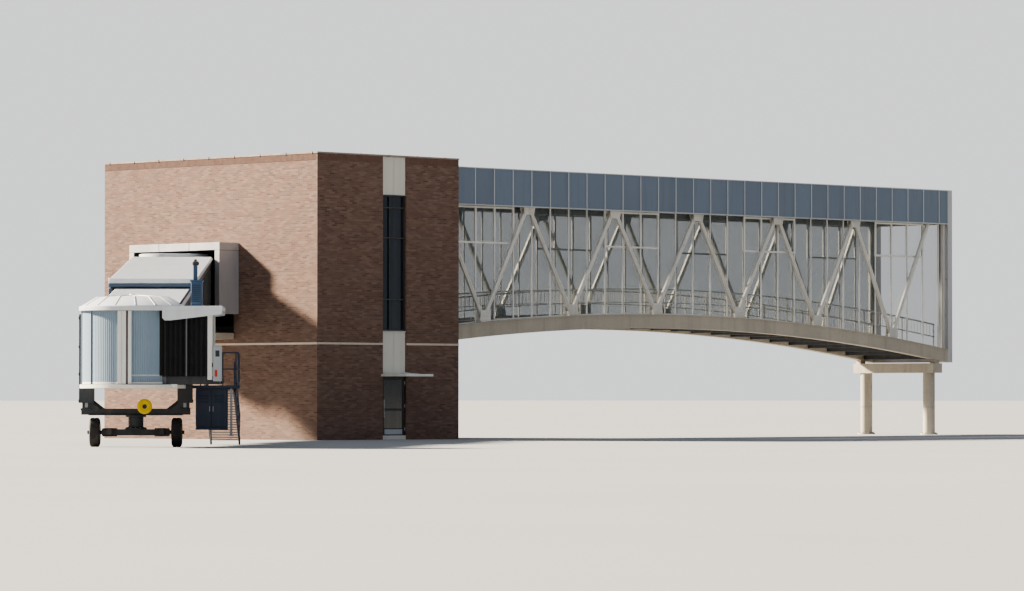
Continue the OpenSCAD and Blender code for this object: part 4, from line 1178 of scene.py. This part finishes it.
guard(m, [(26.50, 3.37, LZ), (27.41, 3.37, LZ)], 1.08, 2)
guard(m, [(27.415, 3.36, LZ), (27.415, 2.85, LZ), (27.415, 2.32, LZ)], 1.08, 2)
guard(m, [(26.49, 3.37, LZ), (26.49, 3.26, LZ)], 1.08, 2)
guard(m, [(26.49, 2.08, LZ), (26.49, 1.80, LZ), (26.49, 1.47, LZ)], 1.08, 2)
m.cham((26.50, 3.37, LZ), (27.41, 3.385, LZ + 0.12), 0.004)
m.cham((27.33, 3.09, 0.36), (27.41, 3.17, 1.93), 0.01, 3)
m.cham((27.29, 3.05, 0.36), (27.45 - 0.01, 3.21, 0.385), 0.005, 3)
m.make("landing_platform", "end_frame", [M_NAVY, M_GALV, M_NAVY, M_GREY], "steel_navy", replaces=["landing"])

m = Mesh(H)
cx0, cx1_, cy0, cy1, cz0, cz1 = 26.50, 27.35, 1.95, 3.00, 0.56, 1.93
m.cham((cx0 + 0.015, cy0 + 0.015, cz0 + 0.04), (cx1_ - 0.015, cy1 - 0.015, cz1), 0.01)
m.cham((cx0, cy0, cz0), (cx1_, cy1, cz0 + 0.07), 0.01)
for k in range(2):
    y0 = cy0 + 0.03 + k * 0.505
    m.cham((cx1_ - 0.02, y0, cz0 + 0.11), (cx1_ - 0.001, y0 + 0.485, cz1 - 0.05), 0.008)
    for j in range(6):
        z = cz1 - 0.22 - j * 0.05
        m.prism([(cx1_ - 0.005, z), (cx1_ + 0.008, z - 0.012), (cx1_ + 0.008, z - 0.018), (cx1_ - 0.005, z - 0.012)], y0 + 0.08, y0 + 0.40, "y")
    m.cham((cx1_ - 0.002, y0 + (0.42 if k == 0 else 0.03), 1.16), (cx1_ + 0.02, y0 + (0.45 if k == 0 else 0.06), 1.34), 0.006, 1)
    x0 = cx0 + 0.03
m.cham((cx0 + 0.03, cy1 - 0.02, cz0 + 0.11), (cx1_ - 0.03, cy1 - 0.001, cz1 - 0.05), 0.008)
m.cham((cx0 + 0.03, cy0 + 0.001, cz0 + 0.11), (cx1_ - 0.03, cy0 + 0.02, cz1 - 0.05), 0.008)
m.make("landing_cabinet", "end_frame", [M_NAVY, M_GALV], "steel_navy")

# stair hinge and flight
m = Mesh(S)
m.rod((0, 2.125, 0), (0, 3.275, 0), 0.045, 24)
for y in (2.12, 3.24):
    m.prism([(-0.90, -0.035), (-0.86, -0.06), (0.015, -0.06), (0.04, -0.035), (0.04, 0.035), (0.015, 0.06), (-0.86, 0.06), (-0.90, 0.035)], y, y + 0.04, "y")
    for x in (-0.78, -0.5, -0.22):
        m.rod((x, y - 0.012, 0), (x, y + 0.052, 0), 0.020, 6, 1)
m.make("stair_hinge_cheeks", "stair_hanger", [M_NAVY, M_GALV], "steel_navy", smooth=35, replaces=["stair_head"])

m = Mesh(S)
SL_ = 6.3
for y0, y1, s in ((2.18, 2.24, 1), (3.16, 3.22, -1)):
    web = (y0, y0 + 0.015) if s > 0 else (y1 - 0.015, y1)
    m.prism([(-SL_, -0.1), (-0.06, -0.1), (-0.06, 0.1), (-SL_, 0.1)], web[0], web[1], "y")
    for z in (-0.1, 0.088):
        m.prism([(-SL_, z), (-0.06, z), (-0.06, z + 0.012), (-SL_, z + 0.012)], y0, y1, "y")
    yr = (y0 + y1) / 2
    top = [(-0.12, yr, 0.99), (-SL_ + 0.12, yr, 0.99), (-SL_ + 0.03, yr, 0.92), (-SL_ + 0.02, yr, 0.52)]
    m.pipe([(-0.12, yr, 0.52), (-0.10, yr, 0.90), (-0.16, yr, 0.99)] + top[1:], 0.021, 8, 1)
    m.pipe([(-0.12, yr, 0.54), (-SL_ + 0.03, yr, 0.54)], 0.016, 8, 1)
    for i in range(6):
        x = -0.25 - i * (SL_ - 0.45) / 5
        m.rod((x, yr, 0.08), (x, yr, 0.985), 0.020, 8, 1)
    m.lathe([(0.018, -0.03), (0.11, -0.03), (0.12, -0.02), (0.12, 0.02), (0.11, 0.03), (0.018, 0.03)], (-SL_ + 0.02 + 0.12, yr, -0.03), "y", 24, 3)
c168, s168 = math.cos(math.radians(16.8)), math.sin(math.radians(16.8))
for i in range(20):
    cx = -0.25 - i * 0.308

    def T(u, w):
        # level tread, in the stair frame
        return (cx + u * c168 + w * s168, -u * s168 + w * c168)

    def tbar(u0, u1, w0, w1, y0, y1, mt):
        m.prism([T(u0, w0), T(u1, w0), T(u1, w1), T(u0, w1)], y0, y1, "y", mt)
    tbar(-0.13, -0.118, -0.02, 0.015, 2.24, 3.16, 2)
    tbar(0.118, 0.13, -0.02, 0.015, 2.24, 3.16, 2)
    for k in range(1, 8):
        u = -0.13 + 0.26 * k / 8
        tbar(u - 0.003, u + 0.003, -0.012, 0.012, 2.24, 3.16, 2)
    for k in range(1, 6):
        y = 2.24 + 0.92 * k / 6
        tbar(-0.12, 0.12, -0.010, 0.008, y - 0.003, y + 0.003, 2)
m.make("stair_flight", "flight", [M_NAVY, M_NAVY, M_GALV, M_RUBBER], "steel_navy", replaces=["stair"])

# ------------------------------------------------------------------ cab
# roof: flat disc and hood in one outline with a rolled fascia and laps
m = Mesh(C)


def hood(off, r_extra=0.0):
    x1, y1, R = 1.42 - off, 2.96 - off, 1.75 - off
    a0 = math.degrees(math.acos(x1 / R))
    pts = [(x1, y1)]
    a = a0
    pts.append((x1, R * math.sin(math.radians(a0))))
    steps = 72
    a_end = -180 - a0
    for i in range(1, steps):
        aa = math.radians(a0 + (a_end - a0) * i / steps)
        pts.append((R * math.cos(aa), R * math.sin(aa)))
    pts.append((-x1, R * math.sin(math.radians(a0))))
    pts.append((-x1, y1))
    return pts


levels = [(0.012, 4.44), (0.0, 4.452), (0.0, 4.575), (0.015, 4.59), (0.06, 4.59), (0.065, 4.575), (0.10, 4.572)]
rings = [[(x, y, z) for x, y in hood(o)] for o, z in levels]
n = len(rings[0])
pts = [p for r in rings for p in r]
f = []
for i in range(len(rings) - 1):
    for j in range(n):
        f.append([i * n + j, i * n + (j + 1) % n, (i + 1) * n + (j + 1) % n, (i + 1) * n + j])
f.append(list(range(n)))
f.append(list(range(len(pts) - n, len(pts))))
m.add(pts, f, 0)
for k in range(7):
    x = -1.2 + 0.4 * k
    yb = -math.sqrt(max(0, 1.62 ** 2 - x * x))
    m.cham((x - 0.015, yb, 4.572), (x + 0.015, 2.84, 4.588), 0.004)
# raised drum roof: sloping skirt in sheets, with standing seams
m.lathe([(0.0, 4.58), (1.70, 4.58), (1.70, 4.60), (1.18, 4.90), (0.10, 4.965), (0.0, 4.965)], (0, 0, 0), "z", 48)
for k in range(16):
    a = math.pi / 8 * k + 0.1
    ca, sa = math.cos(a), math.sin(a)
    m.pipe([(1.68 * ca, 1.68 * sa, 4.618), (1.18 * ca, 1.18 * sa, 4.905), (0.14 * ca, 0.14 * sa, 4.968)], 0.012, 6)
m.lathe([(0.0, 4.96), (0.14, 4.96), (0.12, 5.0), (0.0, 5.005)], (0, 0, 0), "z", 20)
# side flaps of the hood, deeper towards the drum
for s in (-1, 1):
    a, b = (1.385, 1.418) if s > 0 else (-1.418, -1.385)
    m.prism([(1.02, 4.445), (2.95, 4.445), (2.95, 4.32), (1.30, 4.12), (1.10, 4.12), (1.02, 4.20)], a, b, "x")
m.make("cab_roof_sheet", "cab", M_ROOFW, "roof_white", smooth=30, replaces=["cab_roof"])

# roof unit: louvred housing and mast
m = Mesh(C)
m.cham((-0.1, 1.90, 4.60), (0.5, 2.28, 5.42), 0.03)
m.cham((-0.13, 1.87, 5.40), (0.53, 2.31, 5.45), 0.015)
m.cham((-0.13, 1.87, 4.58), (0.53, 2.31, 4.64), 0.015)
for k in range(9):
    z = 4.78 + k * 0.065
    m.prism([(0.495, z), (0.515, z - 0.03), (0.515, z - 0.04), (0.495, z - 0.012)], 1.95, 2.23, "y", 1)
    m.prism([(-0.095, z), (-0.115, z - 0.03), (-0.115, z - 0.04), (-0.095, z - 0.012)], 1.95, 2.23, "y", 1)
for x in (-0.02, 0.40):
    m.prism([(1.46, 4.585), (1.52, 4.585), (1.91, 5.16), (1.91, 5.25)], x, x + 0.04, "x", 1)
m.cham((0.13, 1.97, 5.44), (0.27, 2.11, 5.98), 0.02)
m.cham((0.10, 1.94, 5.93), (0.30, 2.16, 6.06), 0.03, 1)
m.rod((0.20, 2.04, 6.04), (0.20, 2.04, 6.13), 0.05, 16, 1)
m.make("roof_unit_case", "cab", [M_BAND, M_DARK], "band_blue", replaces=["roof_unit"])

# canopy: folded cloth on hoops
NPL = 8
Y0, Y1 = 1.13, 2.46
rings = []
flat_len = 0.0
steps = 6
prev = None
for i in range(NPL * steps + 1):
    t = i / steps
    ph = abs(((t % 1.0) * 2) - 1)
    depth = (1 - ph) ** 0.8
    off = 0.105 * depth
    y = Y0 + (Y1 - Y0) * i / (NPL * steps)
    sag = 0.02 * math.sin(math.pi * ((y - Y0) / (Y1 - Y0)) * 2) ** 2
    ring = []
    for x, z in hoop(1.285 - off, 2.33, 4.425 - off, 0.16):
        zz = z - sag * max(0.0, (z - 4.0) / 0.4) * (1 - (x / 1.29) ** 2)
        wob = 0.006 * math.sin(7.3 * z + 1.9 * t) * (1 if abs(x) > 1.0 else 0)
        ring.append((x + (wob if x > 0 else -wob) - (0.006 if x > 0 else -0.006), y, zz))
    rings.append(ring)
ob = pleats(C, rings, M_CLOTH, "canopy_bellows", "bellows", 0.008)
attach(ob, "cab")
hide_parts("cab_canopy")


m = Mesh(C)
# intermediate hoop, light end frame, console box and bumper
for y, w, mt in ((1.80, 0.05, 3),):
    for s in (-1, 1):
        a, b = (1.292, 1.335) if s > 0 else (-1.335, -1.292)
        m.cham((a, y - w / 2, 2.32), (b, y + w / 2, 4.44), 0.008, mt)
for s in (-1, 1):
    a, b = (1.17, 1.29) if s > 0 else (-1.29, -1.17)
    m.cham((a, 2.48, 2.20), (b, 2.64, 4.44), 0.015, 0)
    a, b = (1.035, 1.13) if s > 0 else (-1.13, -1.035)
    m.cham((a, 0.952, 2.30), (b, 1.048, 4.44), 0.01, 2)
m.cham((-1.28, 2.49, 4.36), (1.28, 2.63, 4.436), 0.012, 0)
for a0, a1 in ((37.0, 44.6), (135.4, 143.0)):
    arc_band(m, 1.50, 1.552, a0, a1, 2.30, 4.44, 1, 2.0)
for s in (-1, 1):
    a, b = (1.25, 1.30) if s > 0 else (-1.30, -1.25)
    m.cham((a, 1.085, 2.31), (b, 1.135, 4.44), 0.006, 1)
m.make("canopy_frame", "cab", [M_WHITE, M_RUBBER, M_SLAT, paint("dull_hoop", srgb(96, 98, 100), 0.5)], "white_metal", replaces=["cab_posts"])

m = Mesh(C)
m.cham((1.30, 2.66, 2.15), (1.42, 2.95, 3.30), 0.02, 0)
m.cham((1.415, 2.70, 2.22), (1.428, 2.91, 3.24), 0.006, 0)
m.cham((1.424, 2.74, 2.95), (1.434, 2.87, 3.15), 0.004, 1)
m.cham((1.424, 2.72, 2.30), (1.436, 2.80, 2.52), 0.004, 2)
m.cham((1.17, 2.62, 2.6), (1.31, 2.68, 2.75), 0.01, 3)
m.make("console_box", "cab", [M_GREY, M_DGLASS, M_RED, M_DARK], "white_metal")

# bumper: hollow rubber profile on the platform's nose
m = Mesh(C)
R = 0.09
prof = [(2.86, 2.07), (2.90, 2.07)] + [(2.875 + 0.075 * math.cos(a), 2.185 + 0.11 * math.sin(a)) for a in [math.radians(-75 + 15 * i) for i in range(11)]] + [(2.90, 2.30), (2.86, 2.30)]
m.prism([(y, z) for y, z in prof], -1.10, 1.10, "x")
for x in (-1.0, -0.5, 0.0, 0.5, 1.0):
    m.cham((x - 0.04, 2.855, 2.08), (x + 0.04, 2.895, 2.29), 0.006, 1)
m.make("nose_bumper", "cab", [M_RUBBER, M_GALV], "tyre", smooth=35)

# cab floor: chequer ribs in the mouth, edge trim, side posts of the platform
m = Mesh(C)
for i in range(30):
    y = 1.1 + 0.058 * i
    m.cham((-1.05, y - 0.008, 2.298), (1.05, y + 0.008, 2.306), 0.002)
for s in (-1, 1):
    a, b = (1.10, 1.125) if s > 0 else (-1.125, -1.10)
    m.cham((a, 1.14, 2.06), (b, 2.86, 2.32), 0.006, 1)
    m.cham((a, 1.16, 1.95), (b, 1.50, 2.06), 0.006, 2)
m.make("platform_ribs", "cab", [M_GALV, M_DARK, M_WHITE], "floor_metal")

# ------------------------------------------------------------------ undercarriage
def wheel(tag, body, s, node):
    m = Mesh(H)
    c = (27.75, s * 1.35, 0.48)
    m.lathe([(0.345, -0.165), (0.40, -0.172), (0.448, -0.150), (0.466, -0.118), (0.472, -0.06), (0.472, 0.06), (0.466, 0.118), (0.448, 0.150), (0.40, 0.172), (0.345, 0.165), (0.33, 0.10), (0.33, -0.10)], c, "y", 64, 0)
    m.lathe([(0.062, -0.15), (0.12, -0.15), (0.12, -0.125), (0.25, -0.10), (0.31, -0.11), (0.335, -0.150), (0.347, -0.150), (0.347, 0.150), (0.335, 0.150), (0.31, 0.11), (0.25, 0.10), (0.12, 0.125), (0.12, 0.15), (0.062, 0.15)], c, "y", 48, 1)
    for k in range(10):
        a = 2 * math.pi * k / 10
        x, z = c[0] + 0.19 * math.cos(a), c[2] + 0.19 * math.sin(a)
        m.rod((x, c[1] - 0.135, z), (x, c[1] + 0.135, z), 0.017, 6, 2)
    m.lathe([(0.0, -0.165), (0.075, -0.165), (0.075, -0.150), (0.0, -0.150)], c, "y", 24, 2)
    m.lathe([(0.0, 0.150), (0.075, 0.150), (0.075, 0.165), (0.0, 0.165)], c, "y", 24, 2)
    for k in range(36):
        a = 2 * math.pi * k / 36
        for off, y0, y1 in ((0.0, -0.125, -0.012), (math.pi / 36, 0.012, 0.125)):
            aa = a + off
            da = 0.062
            pts = []
            for rr in (0.468, 0.4795):
                for t, y in ((-da, y0), (da * 0.7, y0), (da, y1), (-da * 0.7, y1)):
                    pts.append((c[0] + rr * math.cos(aa + t), c[1] + y, c[2] + rr * math.sin(aa + t)))
            m.add(pts, [(0, 1, 2, 3), (4, 7, 6, 5), (0, 4, 5, 1), (1, 5, 6, 2), (2, 6, 7, 3), (3, 7, 4, 0)], 0)
    m.make(tag, body, [M_TYRE, M_GREY, M_GALV], "tyre", smooth=35, replaces=[node])


wheel("left_tyre", "left_wheel", 1, "wheel_left")
wheel("right_tyre", "right_wheel", -1, "wheel_right")

m = Mesh(H)
# bogie: gear motors, brackets, bolts
for s in (-1, 1):
    m.rod((27.75, s * 0.62, 0.48), (27.75, s * 1.10, 0.48), 0.14, 20)
    m.cham((27.55, s * 0.86 - 0.12, 0.36), (27.95, s * 0.86 + 0.12, 0.62), 0.03)
    m.rod((27.93, s * 0.86, 0.50), (28.25, s * 0.86, 0.50), 0.10, 16, 0)
    for k in range(5):
        m.rod((27.98 + 0.05 * k, s * 0.86, 0.50), (27.995 + 0.05 * k, s * 0.86, 0.50), 0.112, 16, 0)
m.lathe([(0.25, 0.58), (0.36, 0.58), (0.36, 0.62), (0.27, 0.66), (0.25, 0.66)], (27.75, 0, 0), "z", 40, 0)
m.lathe([(0.25, 0.97), (0.34, 0.99), (0.34, 1.04), (0.25, 1.04)], (27.75, 0, 0), "z", 40, 0)
for k in range(12):
    a = math.pi / 6 * k
    m.rod((27.75 + 0.32 * math.cos(a), 0.32 * math.sin(a), 0.61), (27.75 + 0.32 * math.cos(a), 0.32 * math.sin(a), 0.65), 0.018, 6, 1)
m.make("bogie_drives", "bogie", [M_DARK, M_GALV], "steel_dark", smooth=35)

m = Mesh(H)
# carriage: gussets to the tubes, hose tray, warning disc
for s in (-1, 1):
    y = s * 1.62
    m.prism([(y - s * 0.14, 1.26), (y - s * 0.60, 1.26), (y - s * 0.14, 1.62)], 27.72, 27.78, "x")
    for x in (27.58, 27.92):
        m.prism([(y - s * 0.14, 1.26), (y - s * 0.45, 1.26), (y - s * 0.14, 1.50)], x - 0.02, x + 0.02, "x")
    m.cham((27.53, y - 0.19, 1.20), (27.97, y + 0.17, 1.28), 0.012)
for k in range(9):
    y = -1.2 + 0.3 * k
    m.cham((27.545, y - 0.01, 1.07), (27.955, y + 0.01, 1.25), 0.003)
m.cham((27.50, -1.5, 1.10), (27.545, 1.5, 1.20), 0.01)
m.cham((27.955, -1.55, 1.04), (28.0, 1.55, 1.08), 0.01)
m.make("carriage_gussets", "carriage", M_DARK, "steel_dark")
m = Mesh(H)
m.lathe([(0.0, 28.02), (0.235, 28.02), (0.25, 28.03), (0.25, 28.045), (0.235, 28.055), (0.15, 28.055), (0.14, 28.045), (0.07, 28.045), (0.0, 28.045)], (0, 0.30, 1.33), "x", 40, 0)
m.lathe([(0.0, 28.044), (0.075, 28.044), (0.075, 28.052), (0.0, 28.052)], (0, 0.30, 1.33), "x", 24, 1)
m.cham((27.96, 0.26, 1.06), (28.02, 0.34, 1.40), 0.008, 1)
m.make("warning_disc", "carriage", [M_YELLOW, M_DARK], "steel_dark", smooth=35)

# inner lift tubes: bright rubbing strips
m = Mesh(H)
for s in (-1, 1):
    for x in (27.75 - 0.178, 27.75 + 0.172):
        m.cham((x, s * 1.62 - 0.05, 1.3), (x + 0.006, s * 1.62 + 0.05, 4.24), 0.002)
m.make("rubbing_strips", "carriage", M_GALV, "steel_dark")

# ------------------------------------------------------------------ stage, light, camera
bm_floor = bpy.data.meshes.new("stage_floor")
q = 700.0
bm_floor.from_pydata([(-q, -q, 0), (q, -q, 0), (q, q, 0), (-q, q, 0)], [], [(0, 1, 2, 3)])
floor = bpy.data.objects.new("stage_floor", bm_floor)
bpy.context.scene.collection.objects.link(floor)
fm = Mat("stage_pale")
nf = fm.noise(0.15, 4)
fm.link(fm.mix(nf, (0.27, 0.275, 0.285), (0.31, 0.316, 0.326)), fm.b.inputs["Base Color"])
fm.b.inputs["Roughness"].default_value = 0.9
fm.link(fm.bump(fm.noise(6, 4), 0.05, 0.01), fm.b.inputs["Normal"])
bm_floor.materials.append(fm.m)

sc = bpy.context.scene
world = bpy.data.worlds.new("studio")
sc.world = world
world.use_nodes = True
bg = world.node_tree.nodes["Background"]
bg.inputs[0].default_value = (0.82, 0.88, 0.98, 1)
bg.inputs[1].default_value = 0.46
# what the camera sees behind the object is a paler backdrop than what lights it
wt = world.node_tree
seen = wt.nodes.new("ShaderNodeBackground")
seen.inputs[0].default_value = (0.95, 0.965, 0.98, 1)
seen.inputs[1].default_value = 0.95
path = wt.nodes.new("ShaderNodeLightPath")
wm = wt.nodes.new("ShaderNodeMixShader")
wt.links.new(path.outputs["Is Camera Ray"], wm.inputs[0])
wt.links.new(bg.outputs[0], wm.inputs[1])
wt.links.new(seen.outputs[0], wm.inputs[2])
wt.links.new(wm.outputs[0], wt.nodes["World Output"].inputs["Surface"])


def sun(name, az, el, strength, angle, col):
    l = bpy.data.lights.new(name, "SUN")
    l.energy, l.angle, l.color = strength, math.radians(angle), col
    o = bpy.data.objects.new(name, l)
    sc.collection.objects.link(o)
    a, e = math.radians(az), math.radians(el)
    d = Vector((math.cos(a) * math.cos(e), math.sin(a) * math.cos(e), math.sin(e)))
    o.rotation_mode = "QUATERNION"
    o.rotation_quaternion = d.to_track_quat("Z", "Y")
    return o


# azimuth is measured from +X; 180 is the left of the tower's front wall
sun("key", 206, 29, 23.5, 6, (1.0, 0.875, 0.70))
sun("fill", 300, 40, 0.35, 40, (0.86, 0.92, 1.0))

cam = bpy.data.cameras.new("camera")
co = bpy.data.objects.new("camera", cam)
sc.collection.objects.link(co)
sc.camera = co
co.location = (68.35, -61.425, 0.825)
cam.sensor_width = 36
cam.lens = 163
cam.clip_start, cam.clip_end = 0.5, 2000
yaw = math.atan((409 - 512) / 1552)
pit = math.atan((346 - 312) / 1552)
fwd = Vector((-0.661, 0.750, 0)).normalized()
right = Vector((0.750, 0.661, 0)).normalized()
d = fwd + right * math.tan(yaw) + Vector((0, 0, 1)) * math.tan(pit)
co.rotation_mode = "QUATERNION"
co.rotation_quaternion = d.to_track_quat("-Z", "Y")
sc.view_settings.view_transform = "AgX"
sc.view_settings.look = "AgX - Medium High Contrast"
sc.view_settings.exposure = 0.0
